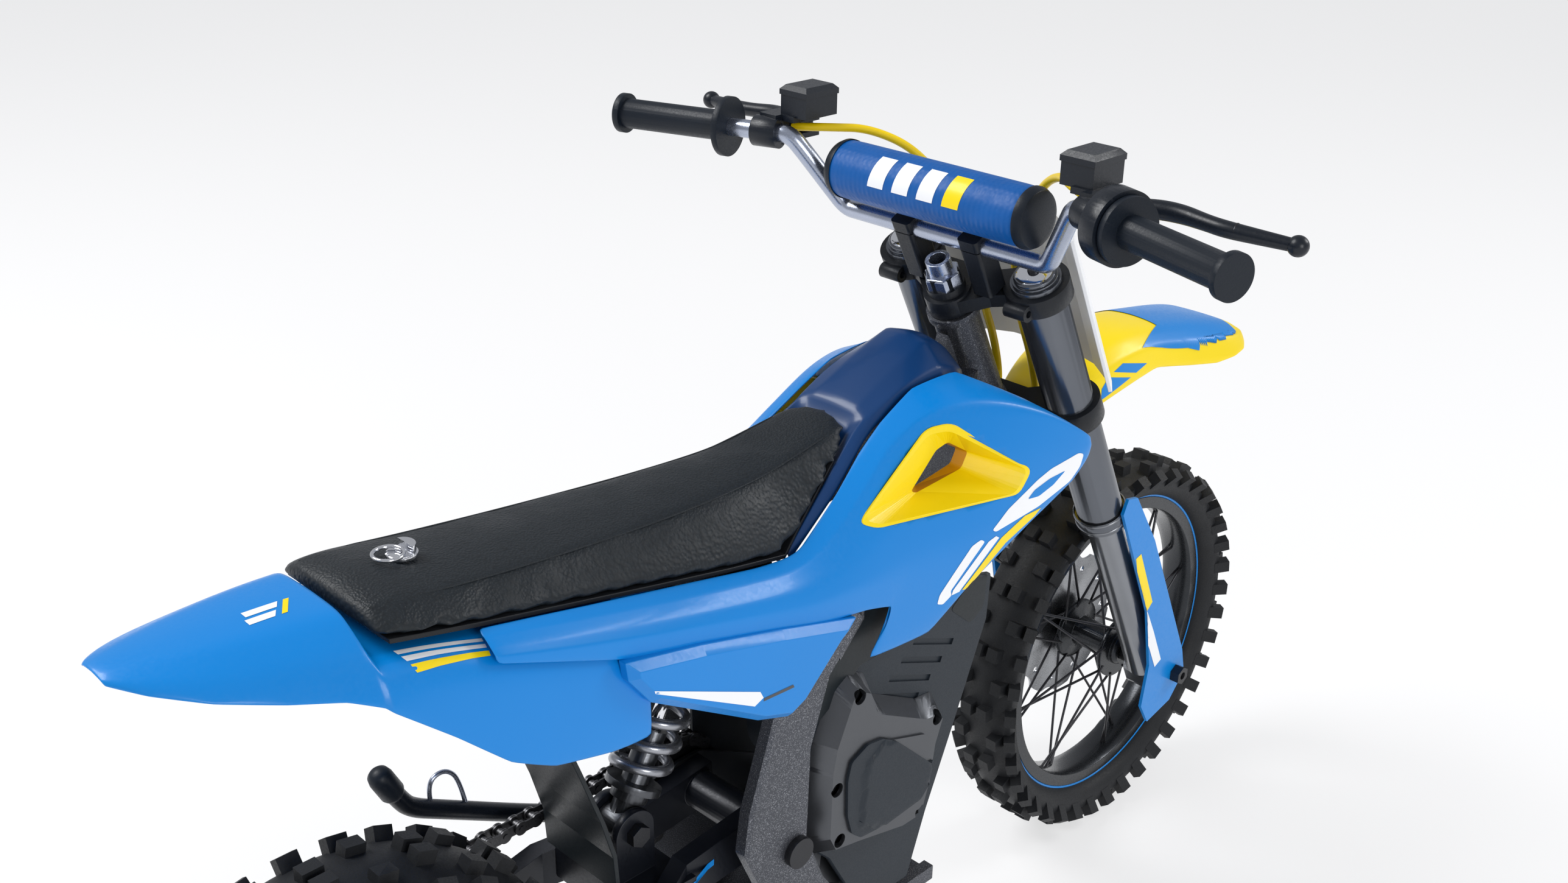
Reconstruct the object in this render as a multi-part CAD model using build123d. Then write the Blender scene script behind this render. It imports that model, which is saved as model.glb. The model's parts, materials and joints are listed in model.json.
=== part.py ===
from build123d import *
from math import asin, atan2, cos, degrees, hypot, pi, radians, sin, tan
import os

# Quarter-scale radio-controlled motocross bike, in millimetres.
# X points forward, Y to the bike's left, Z up. The origin is on the ground,
# midway between the foremost and rearmost points of the two tyres.

# Driving dimensions
WHEELBASE = 380.0
FRONT_TYRE_R = 86.0
REAR_TYRE_R = 84.0
FRONT_TYRE_HALF = 16.7
REAR_TYRE_HALF = 19.5
RAKE = 27.0
FORK_HALF = 28.5
FORK_OFFSET = 14.6
OUTER_TUBE_R = 9.0
INNER_TUBE_R = 7.0
BAR_R = 3.3
GRIP_R = 5.5
AXLE_R = 3.0
RUNNING_GAP = 0.06
CHAIN_PITCH = 6.35
REAR_TEETH = 42
FRONT_TEETH = 14
CHAIN_LINKS = 78
CHAIN_Y = 24.5
FRAME_IN = 30.0
FRAME_OUT = 35.5
SKIN = 1.6

# Key points, as (x, z)
FRONT_AXLE = ((WHEELBASE - FRONT_TYRE_R + REAR_TYRE_R) / 2, FRONT_TYRE_R)
REAR_AXLE = (FRONT_AXLE[0] - WHEELBASE, REAR_TYRE_R)
PIVOT = (-37.0, 112.0)
SHOCK_TOP = (-50.0, 191.0)
SHOCK_EYE = (-84.0, 129.0)
STAND_PIVOT = (-60.0, 97.0)
STEER_TOP = (67.7, 281.3)
BAR_CENTRE = (66.0, 297.0)
LATCH_X = -155.2

# Steering frame: local X forward across the steering axis, local Z up along it
STEER = Plane(
    origin=(STEER_TOP[0], 0, STEER_TOP[1]),
    x_dir=(cos(radians(RAKE)), 0, sin(radians(RAKE))),
    z_dir=(-sin(radians(RAKE)), 0, cos(radians(RAKE))),
)
AXLE_LOCAL = STEER.to_local_coords(Vector(FRONT_AXLE[0], 0, FRONT_AXLE[1]))
AXLE_AHEAD = AXLE_LOCAL.X
AXLE_ALONG = AXLE_LOCAL.Z

os.makedirs("parts", exist_ok=True)


def save(node, *shapes):
    """Write one node, with each of its pieces as a separate solid."""
    solids = [solid for shape in shapes for solid in shape.solids()]
    export_step(Compound(children=solids), f"parts/{node}.step")


def both(*shapes):
    """The given shapes and their mirror images across the bike's middle plane."""
    return [*shapes, *[mirror(shape, about=Plane.XZ) for shape in shapes]]


def rod(radius, start, end):
    """Round bar between two points."""
    a = Vector(*start)
    b = Vector(*end)
    return Solid.make_cylinder(radius, (b - a).length, Plane(origin=a, z_dir=b - a))


def cross_rod(radius, y0, y1, at):
    """Round bar along Y through the point at = (x, z)."""
    return rod(radius, (at[0], y0, at[1]), (at[0], y1, at[1]))


def cross_z(radius, low, high, x, y):
    """Upright round bar."""
    return rod(radius, (x, y, low), (x, y, high))


def block(x0, x1, y0, y1, z0, z1):
    """Box between two corners."""
    return Pos((x0 + x1) / 2, (y0 + y1) / 2, (z0 + z1) / 2) * Box(x1 - x0, y1 - y0, z1 - z0)


def hex_rod(across_flats, y0, y1, at):
    """Hexagonal bar along Y through the point at = (x, z)."""
    outline = RegularPolygon(across_flats / 2 / cos(pi / 6), 6)
    return extrude(Plane(origin=(at[0], y0, at[1]), z_dir=(0, 1, 0)) * outline, y1 - y0)


def side_plate(points, y0, y1, corner=0.0, bevel=0.0):
    """Plate parallel to the middle plane; the outline is (x, z), rounded and bevelled on its far face."""
    plane = Plane(origin=(0, y0, 0), x_dir=(1, 0, 0), z_dir=(0, -1, 0))
    outline = make_face(Polyline(*points, close=True))
    if corner:
        outline = fillet(outline.vertices(), corner)
    plate = extrude(plane * outline, y0 - y1)
    if bevel:
        far = plate.faces().sort_by(Axis.Y)[-1 if y1 > y0 else 0]
        plate = chamfer(far.edges(), bevel)
    return plate


def turned(points):
    """Solid of revolution about Y from an outline of (radius, y) points."""
    return revolve(make_face(Polyline(*points, close=True)), Axis.Y)


def at_point(place, shape):
    """Move a shape built about the Y axis to place = (x, z)."""
    return Pos(place[0], 0, place[1]) * shape


def tube_path(points, radii, radius):
    """Round bar that follows straight runs joined by tangent arcs."""
    path = FilletPolyline(*points, radius=radii)
    start = Plane(origin=path @ 0, z_dir=path % 0)
    return sweep(start * Circle(radius), path)


def mitred(points, wall):
    """Closed outline of a strip of even thickness on the right-hand side of a line of points."""
    normals = []
    for (y0, z0), (y1, z1) in zip(points, points[1:]):
        length = hypot(y1 - y0, z1 - z0)
        normals.append(((z1 - z0) / length, (y0 - y1) / length))
    inner = []
    for i, (y, z) in enumerate(points):
        a = normals[max(i - 1, 0)]
        b = normals[min(i, len(normals) - 1)]
        reach = wall / (1 + a[0] * b[0] + a[1] * b[1])
        inner.append((y + (a[0] + b[0]) * reach, z + (a[1] + b[1]) * reach))
    return points + inner[::-1]


def ruled(sections):
    """Solid through closed outlines; each section is (x, list of (y, z) points)."""
    wires = [Wire.make_polygon([(x, y, z) for y, z in points], close=True) for x, points in sections]
    return Solid.make_loft(wires, ruled=True)


def arched_skin(sections, wall=SKIN):
    """Thin cover over the middle plane; each section is (x, half profile from the middle outwards)."""
    full = [(x, [(-y, z) for y, z in half[:0:-1]] + half) for x, half in sections]
    return ruled([(x, mitred(points, wall)) for x, points in full])


def side_skin(sections, wall=SKIN):
    """Thin cover on the left side; each section is (x, profile from the top edge downwards)."""
    return ruled([(x, mitred(points, wall)) for x, points in sections])


# ---------------------------------------------------------------- wheels

def tyre(outer_r, half_width, rim_r, knob_height, knob_length, rows):
    """Hollow casing with a bead inside the rim flanges and rows of knobs."""
    crown = outer_r - knob_height
    shoulder = outer_r - 8
    wide = half_width - 3.6
    bead = rim_r + 3.2
    outer = [
        Line((bead, -5.8), (rim_r + 7.2, -5.8)),
        ThreePointArc((rim_r + 7.2, -5.8), ((rim_r + 7.2 + shoulder) / 2, -wide + 0.6), (shoulder, -wide)),
        ThreePointArc((shoulder, -wide), (crown, 0), (shoulder, wide)),
        ThreePointArc((shoulder, wide), ((rim_r + 7.2 + shoulder) / 2, wide - 0.6), (rim_r + 7.2, 5.8)),
        Line((rim_r + 7.2, 5.8), (bead, 5.8)),
        Line((bead, 5.8), (bead, 4.0)),
        Line((bead, 4.0), (rim_r + 8.6, 4.0)),
        ThreePointArc((rim_r + 8.6, 4.0), ((rim_r + 8.4 + shoulder) / 2, wide - 2.6), (shoulder - 0.6, wide - 2.2)),
        ThreePointArc((shoulder - 0.6, wide - 2.2), (crown - 2.2, 0), (shoulder - 0.6, 2.2 - wide)),
        ThreePointArc((shoulder - 0.6, 2.2 - wide), ((rim_r + 8.4 + shoulder) / 2, 2.6 - wide), (rim_r + 8.6, -4.0)),
        Line((rim_r + 8.6, -4.0), (bead, -4.0)),
        Line((bead, -4.0), (bead, -5.8)),
    ]
    casing = revolve(make_face(outer), Axis.Y)
    knobs = []
    for row in range(rows):
        turn = Rot(0, 360 * row / rows, 0)
        centres = (-8.4, 8.4) if row % 2 else (-3.9, 3.9)
        for y in centres:
            drop = y * y / 60 if row % 2 else 0
            knob = block(crown - 2.6 - drop, outer_r - drop, y - 2.5, y + 2.5, -knob_length / 2, knob_length / 2)
            knobs.append(turn * knob)
        for side in (-1, 1):
            knob = Pos(outer_r - 7.2, side * (half_width - 3.3), 0) * Rot(0, 0, side * 38) * Box(7.0, 4.6, knob_length)
            knobs.append(turn * knob)
    return casing.fuse(*knobs)


def rim(rim_r, half_width):
    """Box-section rim with two upright flanges that hold the tyre's beads."""
    lip = rim_r + 6.7
    return turned([
        (rim_r, -3.2), (rim_r + 1.5, -half_width), (lip, -half_width), (lip, 1.3 - half_width),
        (rim_r + 3.1, 1.3 - half_width), (rim_r + 3.1, half_width - 1.3), (lip, half_width - 1.3),
        (lip, half_width), (rim_r + 1.5, half_width), (rim_r, 3.2),
    ])


def spokes(rim_r, flange_y, count=32):
    """Crossed wire spokes between two hub flanges and the rim."""
    wires = []
    for i in range(count):
        side = 1 if i % 2 else -1
        lean = 1 if (i // 2) % 2 else -1
        hub_turn = radians(360 * i / count)
        rim_turn = hub_turn + lean * radians(34)
        hub_y = side * (flange_y + 1.1 * lean)
        rim_y = side * (1.9 + 0.7 * lean)
        start = (12.2 * cos(hub_turn), hub_y, 12.2 * sin(hub_turn))
        end = ((rim_r + 0.3) * cos(rim_turn), rim_y, (rim_r + 0.3) * sin(rim_turn))
        wires.append(rod(0.55, start, end))
    return wires


def hub(flange_y, y0, y1, barrel_r=7.5):
    """Hub barrel with two spoke flanges, bored to run on the axle."""
    bore = AXLE_R + RUNNING_GAP
    return turned([
        (bore, y0), (barrel_r - 1.5, y0), (barrel_r, y0 + 1.5), (barrel_r, -flange_y - 1), (13.8, -flange_y - 1),
        (13.8, -flange_y + 1), (barrel_r - 1, -flange_y + 2.5), (barrel_r - 1, flange_y - 2.5),
        (13.8, flange_y - 1), (13.8, flange_y + 1), (barrel_r, flange_y + 1), (barrel_r, y1 - 1.5),
        (barrel_r - 1.5, y1), (bore, y1),
    ])


def wave_disc(outer_r, inner_r, y0, y1):
    """Brake disc with a wavy rim and drilled holes."""
    disc = turned([(inner_r, y0), (outer_r, y0), (outer_r, y1), (inner_r, y1)])
    waves = []
    holes = []
    for i in range(10):
        turn = Rot(0, 36 * i, 0)
        waves.append(turn * Pos(outer_r + 6.2, 0, 0) * Rot(90, 0, 0) * Cylinder(8.2, 8 + 2 * abs(y1)))
        holes.append(turn * Pos(outer_r - 7, 0, 0) * Rot(90, 0, 0) * Cylinder(1.5, 8 + 2 * abs(y1)))
    return disc.cut(*waves, *holes)


def sprocket(teeth, y0, y1, bore, holes=0):
    """Chain wheel; round seats for the rollers leave the teeth between them."""
    pitch_r = CHAIN_PITCH / 2 / sin(pi / teeth)
    blank = turned([(bore, y0), (pitch_r + 1.5, y0), (pitch_r + 1.5, y1), (bore, y1)])
    cuts = []
    for i in range(teeth):
        seat = Pos(pitch_r + 0.3, 0, 0) * Rot(90, 0, 0) * Cylinder(2.4, 8 + 2 * abs(y1))
        cuts.append(Rot(0, 360 * i / teeth, 0) * seat)
    for i in range(holes):
        hole = Pos(pitch_r * 0.66, 0, 0) * Rot(90, 0, 0) * Cylinder(pitch_r * 0.17, 8 + 2 * abs(y1))
        cuts.append(Rot(0, 360 * i / holes, 0) * hole)
    return blank.cut(*cuts)


FRONT_RIM_R = 61.5
REAR_RIM_R = 57.0

save("tyre_front", at_point(FRONT_AXLE, tyre(FRONT_TYRE_R, FRONT_TYRE_HALF, FRONT_RIM_R, 3.6, 5.4, 40)))
save("rim_front", at_point(FRONT_AXLE, rim(FRONT_RIM_R, 7.6)))
save("spokes_front", *[at_point(FRONT_AXLE, wire) for wire in spokes(FRONT_RIM_R, 11.0)])
save("hub_front", at_point(FRONT_AXLE, hub(11.0, -15.0, 16.0)))
save("brake_disc_front", at_point(FRONT_AXLE, wave_disc(33.0, 5.4, 16.0, 17.2)))
save("tyre_rear", at_point(REAR_AXLE, tyre(REAR_TYRE_R, REAR_TYRE_HALF, REAR_RIM_R, 3.8, 6.8, 32)))
save("rim_rear", at_point(REAR_AXLE, rim(REAR_RIM_R, 7.6)))
save("spokes_rear", *[at_point(REAR_AXLE, wire) for wire in spokes(REAR_RIM_R, 13.0)])
save("hub_rear", at_point(REAR_AXLE, hub(13.0, -20.0, 21.0, 8.5)))
save("brake_disc_rear", at_point(REAR_AXLE, mirror(wave_disc(27.0, 5.4, 20.0, 21.2), about=Plane.XZ)))


# ---------------------------------------------------------------- chain

def chain_points():
    """Pin positions, evenly spaced along the closed path round both chain wheels."""
    big = CHAIN_PITCH / 2 / sin(pi / REAR_TEETH)
    small = CHAIN_PITCH / 2 / sin(pi / FRONT_TEETH)
    dx = PIVOT[0] - REAR_AXLE[0]
    dz = PIVOT[1] - REAR_AXLE[1]
    span = hypot(dx, dz)
    slope = atan2(dz, dx)
    lean = asin((big - small) / span)
    run = span * cos(lean)
    small_arc = (pi - 2 * lean) * small
    big_arc = (pi + 2 * lean) * big
    total = 2 * run + small_arc + big_arc
    top = slope + pi / 2 - lean
    points = []
    for i in range(CHAIN_LINKS):
        s = total * i / CHAIN_LINKS
        if s < small_arc:
            a = top - s / small
            points.append((PIVOT[0] + small * cos(a), PIVOT[1] + small * sin(a)))
        elif s < small_arc + run:
            a = slope - pi / 2 + lean
            t = s - small_arc
            start = (PIVOT[0] + small * cos(a), PIVOT[1] + small * sin(a))
            points.append((start[0] + t * sin(a), start[1] - t * cos(a)))
        elif s < small_arc + run + big_arc:
            a = slope - pi / 2 + lean - (s - small_arc - run) / big
            points.append((REAR_AXLE[0] + big * cos(a), REAR_AXLE[1] + big * sin(a)))
        else:
            t = s - small_arc - run - big_arc
            start = (REAR_AXLE[0] + big * cos(top), REAR_AXLE[1] + big * sin(top))
            points.append((start[0] + t * sin(top), start[1] - t * cos(top)))
    return points


def link_plate(y0, y1):
    """One figure-of-eight side plate, from a pin at the origin to the next along X."""
    ends = [Pos(x, (y0 + y1) / 2, 0) * Rot(90, 0, 0) * Cylinder(2.5, y1 - y0) for x in (0, CHAIN_PITCH)]
    return ends[0].fuse(ends[1], block(0, CHAIN_PITCH, y0, y1, -1.9, 1.9))


def chain():
    """Inner links with rollers and outer links with pins, in turn."""
    bores = [Pos(x, 0, 0) * Rot(90, 0, 0) * Cylinder(1.12, 8) for x in (0, CHAIN_PITCH)]
    rollers = [Pos(x, 0, 0) * Rot(90, 0, 0) * Cylinder(1.65, 2.8) for x in (0, CHAIN_PITCH)]
    inner = link_plate(1.3, 1.9).fuse(link_plate(-1.9, -1.3), *rollers).cut(*bores)
    pins = [Pos(x, 0, 0) * Rot(90, 0, 0) * Cylinder(0.95, 6.0) for x in (0, CHAIN_PITCH)]
    outer = link_plate(2.1, 2.7).fuse(link_plate(-2.7, -2.1), *pins)
    points = chain_points()
    links = []
    for i, (x, z) in enumerate(points):
        nx, nz = points[(i + 1) % len(points)]
        gap = (hypot(nx - x, nz - z) - CHAIN_PITCH) / 2
        turn = atan2(nz - z, nx - x)
        place = Pos(x + gap * cos(turn), CHAIN_Y, z + gap * sin(turn)) * Rot(0, -degrees(turn), 0)
        links.append(place * (outer if i % 2 else inner))
    return links


save("chain", *chain())


def pin_turn(centre, pin):
    """Turn that puts a tooth gap of a chain wheel under one of the chain's pins."""
    return Rot(0, -degrees(atan2(pin[1] - centre[1], pin[0] - centre[0])), 0)


PINS = chain_points()
rear_sprocket = sprocket(REAR_TEETH, CHAIN_Y - 0.8, CHAIN_Y + 0.8, AXLE_R + RUNNING_GAP, 7)
rear_sprocket = pin_turn(REAR_AXLE, min(PINS)) * rear_sprocket
rear_carrier = turned([(3.06, 21.0), (9.0, 21.0), (9.0, CHAIN_Y - 0.8), (3.06, CHAIN_Y - 0.8)])
save("sprocket_rear", at_point(REAR_AXLE, rear_sprocket.fuse(rear_carrier)))
front_sleeve = turned([(3.06, 19.9), (4.5, 19.9), (4.5, 28.0), (3.06, 28.0)])
front_sprocket = sprocket(FRONT_TEETH, CHAIN_Y - 0.8, CHAIN_Y + 0.8, 3.06)
front_sprocket = pin_turn(PIVOT, PINS[3]) * front_sprocket
save("sprocket_front", at_point(PIVOT, front_sprocket.fuse(front_sleeve)))


# ---------------------------------------------------------------- fork and steering

def forked(*shapes):
    """Place shapes from the steering frame onto the bike."""
    return [STEER * shape for shape in shapes]


def leg(radius, low, high, y=FORK_HALF):
    """Round piece of a fork leg between two heights along the steering axis."""
    return Pos(FORK_OFFSET, y, (low + high) / 2) * Cylinder(radius, high - low)


def steer_round(radius, low, high, x=0.0, y=0.0):
    """Upright round piece in the steering frame."""
    return Pos(x, y, (low + high) / 2) * Cylinder(radius, high - low)


TUBE_BOTTOM = -129.0
TUBE_TOP = -3.6
TOP_CLAMP = (-12.4, -5.0)
LOW_CLAMP = (-71.5, -62.4)

outer_leg = leg(OUTER_TUBE_R, TUBE_BOTTOM, TUBE_TOP)
outer_leg = outer_leg.fuse(leg(10.2, TUBE_BOTTOM, TUBE_BOTTOM + 5.5))
outer_leg = outer_leg.cut(leg(INNER_TUBE_R + 0.3, TUBE_BOTTOM - 1, -14.0))
cap = leg(8.2, TUBE_TOP, TUBE_TOP + 1.2).fuse(leg(7.4, TUBE_TOP + 1.2, TUBE_TOP + 2.6))
cap = chamfer(cap.edges().sort_by(Axis.Z)[-1], 0.5)
save("fork_tubes", *forked(*both(outer_leg, cap)))


def clamp_plate(low, high, ring_r, waist):
    """Triple clamp: two split rings round the fork tubes, joined to a boss on the stem."""
    body = steer_round(ring_r, low, high, FORK_OFFSET, FORK_HALF)
    body = body.fuse(steer_round(ring_r, low, high, FORK_OFFSET, -FORK_HALF), steer_round(8.6, low, high))
    web = make_face(Polyline(
        (-6.5, 0), (-5.5, 6), (waist, 16), (FORK_OFFSET - 8, 24), (FORK_OFFSET + 8, 24),
        (waist + 12, 10), (waist + 12, -10), (FORK_OFFSET + 8, -24), (FORK_OFFSET - 8, -24),
        (waist, -16), (-5.5, -6), close=True,
    ))
    body = body.fuse(Pos(0, 0, low + 1) * extrude(web, high - low - 2))
    lug_x = FORK_OFFSET - ring_r - 0.5
    lugs = []
    for side in (-1, 1):
        lug_y = side * FORK_HALF
        lug = Pos(lug_x, lug_y, (low + high) / 2) * Rot(90, 0, 0) * Cylinder(2.9, 9)
        lugs.append(lug)
    body = body.fuse(*lugs)
    for side in (-1, 1):
        lug_y = side * FORK_HALF
        body = body.cut(steer_round(OUTER_TUBE_R, low - 1, high + 1, FORK_OFFSET, lug_y))
        body = body.cut(Pos(lug_x, lug_y, (low + high) / 2) * Rot(90, 0, 0) * Cylinder(1.3, 12))
    return body


top_clamp = clamp_plate(TOP_CLAMP[0], TOP_CLAMP[1], 11.6, 3.0).fuse(steer_round(6.9, TOP_CLAMP[0], -2.2))
top_clamp = top_clamp.cut(steer_round(4.2, TOP_CLAMP[0] - 1, 0))
low_clamp = clamp_plate(LOW_CLAMP[0], LOW_CLAMP[1], 11.4, 2.0)
stem = steer_round(5.0, LOW_CLAMP[0], -12.6).fuse(steer_round(4.2, -12.6, 8.5), low_clamp)
stem = stem.cut(steer_round(3.1, -20, 9))
stem_nut = Pos(0, 0, -2.2) * extrude(RegularPolygon(6.4, 6), 5.0)
save("steering_stem", *forked(stem, stem_nut.cut(steer_round(4.2, -4, 4))))

BAR_POINTS = [
    (33.6, 129.0, 321.5), (53.5, 62.0, 322.5), (66.0, 45.0, 297.0),
    (66.0, -45.0, 297.0), (53.5, -62.0, 322.5), (33.6, -129.0, 321.5),
]
bar = tube_path(BAR_POINTS, [9.0, 9.0, 9.0, 9.0], BAR_R)
crossbar = rod(2.2, (61.0, -52.0, 311.5), (61.0, 52.0, 311.5))
save("handlebar", bar.fuse(crossbar))
pad = Pos(61.0, 0, 313.0) * Rot(90, 0, 0) * Cylinder(10.3, 86)
pad = fillet(pad.edges().filter_by(GeomType.CIRCLE), 2.5)
save("bar_pad", pad.cut(cross_rod(2.2, -60, 60, (61.0, 311.5))))


def bar_clamp(y):
    """Riser post with a split cap round the handlebar."""
    base = Vector(*STEER.to_local_coords(Vector(BAR_CENTRE[0], 0, BAR_CENTRE[1])))
    post = block(base.X - 4.6, base.X + 4.6, y - 4.2, y + 4.2, TOP_CLAMP[1], base.Z + 4.6)
    post = fillet(post.edges().filter_by(Axis.Z), 1.5)
    hole = Pos(base.X, y, base.Z) * Rot(90, 0, 0) * Cylinder(BAR_R, 12)
    split = block(base.X - 6, base.X + 6, y - 6, y + 6, base.Z - 0.2, base.Z + 0.2)
    return post.cut(hole, split)


save("top_clamp", *forked(top_clamp, bar_clamp(14.9), bar_clamp(-14.9)))

# The grips lie along the swept-back ends of the handlebar
GRIP_AXIS = (Vector(33.6, 129.0, 321.5) - Vector(53.5, 62.0, 322.5)).normalized()
GRIP_PLANE = Plane(origin=(53.5, 62.0, 322.5), x_dir=(GRIP_AXIS.Y, -GRIP_AXIS.X, 0), z_dir=GRIP_AXIS)


def on_bar(radius, start, end):
    """Round piece along the left end of the handlebar, by distance from its bend."""
    return GRIP_PLANE * (Pos(0, 0, (start + end) / 2) * Cylinder(radius, end - start))


def grip(bore_gap):
    """Rubber sleeve with a flange at the inner end and a closed disc at the outer end."""
    sleeve = on_bar(GRIP_R, 26.0, 69.0).fuse(on_bar(10.8, 24.5, 26.8), on_bar(7.3, 69.0, 71.4))
    return sleeve.cut(on_bar(BAR_R + bore_gap, 24.0, 70.0 + bore_gap))


save("grip_left", grip(0.0))
save("throttle_grip", mirror(grip(RUNNING_GAP), about=Plane.XZ))


def master_cylinder(with_throttle):
    """Clamp round the bar, box reservoir on top, and two ears for the lever's pivot."""
    body = on_bar(5.6, 4.0, 14.0)
    body = body.fuse(block(54.0, 70.0, 55.0, 67.5, 328.5, 336.0), block(53.0, 66.0, 60.0, 72.0, 326.8, 329.0))
    body = body.fuse(block(50.0, 62.0, 66.0, 74.0, 318.0, 329.0))
    body = body.fuse(block(61.0, 71.0, 64.5, 71.5, 319.0, 326.5))
    body = body.cut(block(60.5, 72.0, 60.0, 76.0, 320.9, 324.6))
    body = body.cut(on_bar(BAR_R, 3.0, 15.0), cross_z(1.5, 318.0, 328.0, 66.5, 68.0))
    if with_throttle:
        drum = on_bar(12.0, 17.0, 24.0).cut(on_bar(BAR_R + RUNNING_GAP, 16.0, 25.0))
        return [body, drum]
    return [body]


def lever():
    """Blade from its pivot past the grip to a ball end, with its own pivot pin."""
    blade = tube_path(
        [(66.5, 68.0, 322.75), (71.0, 84.0, 322.75), (69.5, 100.0, 322.0), (74.5, 124.0, 320.8)],
        [14.0, 20.0], 1.55,
    )
    boss = cross_z(3.4, 321.0, 324.5, 66.5, 68.0)
    pin = cross_z(1.44, 319.2, 326.3, 66.5, 68.0)
    ball = Pos(74.9, 126.5, 320.7) * Sphere(3.3)
    return blade.fuse(boss, pin, ball)


def reservoir_lid():
    """Flat lid with bevelled edges, held by two screws."""
    lid = block(53.6, 70.4, 54.6, 67.9, 336.0, 339.5)
    return chamfer(lid.faces().sort_by(Axis.Z)[-1].edges(), 1.6)


left_master = master_cylinder(False)
right_master = [mirror(piece, about=Plane.XZ) for piece in master_cylinder(True)]
save("rear_brake_master", *left_master, reservoir_lid())
save("front_brake_master", *right_master, mirror(reservoir_lid(), about=Plane.XZ))
save("rear_brake_lever", lever())
save("front_brake_lever", mirror(lever(), about=Plane.XZ))

CABLE_R = 1.5
CABLE = [
    (58.5, 65.8, 323.8), (64.0, 53.0, 325.0), (74.0, 42.0, 325.0), (84.0, 28.0, 318.0), (90.0, 16.0, 302.0),
    (94.5, 9.5, 284.0), (102.0, 8.2, 262.0), (111.5, 8.4, 243.0), (117.0, 9.0, 223.0), (110.5, 9.6, 208.0),
    (97.0, 10.0, 200.5), (81.2, 10.2, 197.2),
]


def cable_radii(points):
    """Largest arc at each corner that its two runs leave room for."""
    radii = []
    for a, b, c in zip(points, points[1:], points[2:]):
        before = Vector(*b) - Vector(*a)
        after = Vector(*c) - Vector(*b)
        half_turn = radians(before.get_angle(after)) / 2
        radii.append(0.45 * min(before.length, after.length) / tan(half_turn))
    return radii


cable = tube_path(CABLE, cable_radii(CABLE), CABLE_R)
print("cable radii", [round(radius, 1) for radius in cable_radii(CABLE)])
save("control_cables", *both(cable))

FENDER_SECTIONS = [
    (114.0, [(0, 208.5), (8, 208.0), (14, 205.0), (15.5, 200.0)]),
    (125.0, [(0, 222.0), (10, 221.0), (16, 217.0), (18.0, 208.5)]),
    (140.0, [(0, 235.5), (11.5, 234.2), (18, 228.6), (20.5, 216.5)]),
    (160.0, [(0, 240.2), (12.5, 239.0), (19, 232.5), (21.0, 220.0)]),
    (180.0, [(0, 238.6), (13, 237.4), (19, 232.0), (21.0, 223.0)]),
    (200.0, [(0, 235.2), (13.5, 234.0), (20.5, 228.0), (23.5, 219.0)]),
    (218.0, [(0, 230.8), (13.5, 229.8), (21.5, 223.6), (25.5, 214.0)]),
    (228.0, [(0, 227.6), (12.5, 226.8), (20, 221.0), (24.0, 212.6)]),
    (236.0, [(0, 224.8), (10, 224.2), (15.5, 220.6), (18.5, 215.5)]),
    (240.0, [(0, 223.2), (6.5, 222.8), (10, 221.0), (12.0, 218.5)]),
]
save("front_fender", arched_skin(FENDER_SECTIONS, 1.5))

plate_profile = [(0, 39.0), (14, 38.6), (26, 36.0), (37, 29.5), (40.2, 25.0)]
plate_outline = [(-y, n) for y, n in plate_profile[:0:-1]] + plate_profile
plate_face = make_face(Polyline(*[(n, y) for y, n in mitred(plate_outline, 1.5)], close=True))
number_plate = Pos(0, 0, -64.0) * extrude(plate_face, 72.0)
save("number_plate", *forked(number_plate))

# Fork bottom, which slides along the steering frame's Z
stanchion = leg(INNER_TUBE_R, -224.0, -60.0)
foot = Pos(17.5, FORK_HALF + 2.1, AXLE_ALONG) * Box(17, 17, 16)
foot = fillet(foot.edges().filter_by(Axis.Y), 4.5)
axle_hole = Pos(AXLE_AHEAD, FORK_HALF, AXLE_ALONG) * Rot(90, 0, 0) * Cylinder(AXLE_R, 40)
save("fork_stanchions", *forked(*both(stanchion.fuse(foot).cut(axle_hole))))
collars = [cross_rod(4.6, -21.3, -15.6, FRONT_AXLE), cross_rod(4.6, 17.8, 21.3, FRONT_AXLE)]
axle_nuts = [hex_rod(7.0, 40.7, 44.7, FRONT_AXLE), hex_rod(7.0, -44.7, -40.7, FRONT_AXLE)]
front_axle = cross_rod(AXLE_R, -41.0, 41.0, FRONT_AXLE).fuse(*collars, *axle_nuts)
save("axle_front", front_axle.cut(cross_rod(1.7, -48.0, -38.0, FRONT_AXLE), cross_rod(1.7, 38.0, 48.0, FRONT_AXLE)))


def fork_guard():
    """Channel in front of the leg: outer wall, front wall and inner wall, open to the rear."""
    plane = Plane.XZ.offset(-39.2)
    outer = make_face(Polyline(
        (14.0, -121.0), (19.0, -117.0), (24.0, -121.0), (27.5, -150.0), (27.5, -222.0), (25.0, -235.0),
        (12.0, -240.0), (-4.0, -236.0), (-5.0, -224.0), (6.0, -208.0), (13.0, -180.0), close=True,
    ))
    outer_wall = extrude(plane * outer, -1.4)
    front = make_face(Polyline(
        (26.0, 39.2), (27.4, 39.2), (27.4, 21.0), (14.0, 19.2), (14.0, 20.6), (26.0, 22.0), close=True,
    ))
    front_wall = Pos(0, 0, -218.0) * extrude(front, 61.0)
    return outer_wall.fuse(front_wall)


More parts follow.
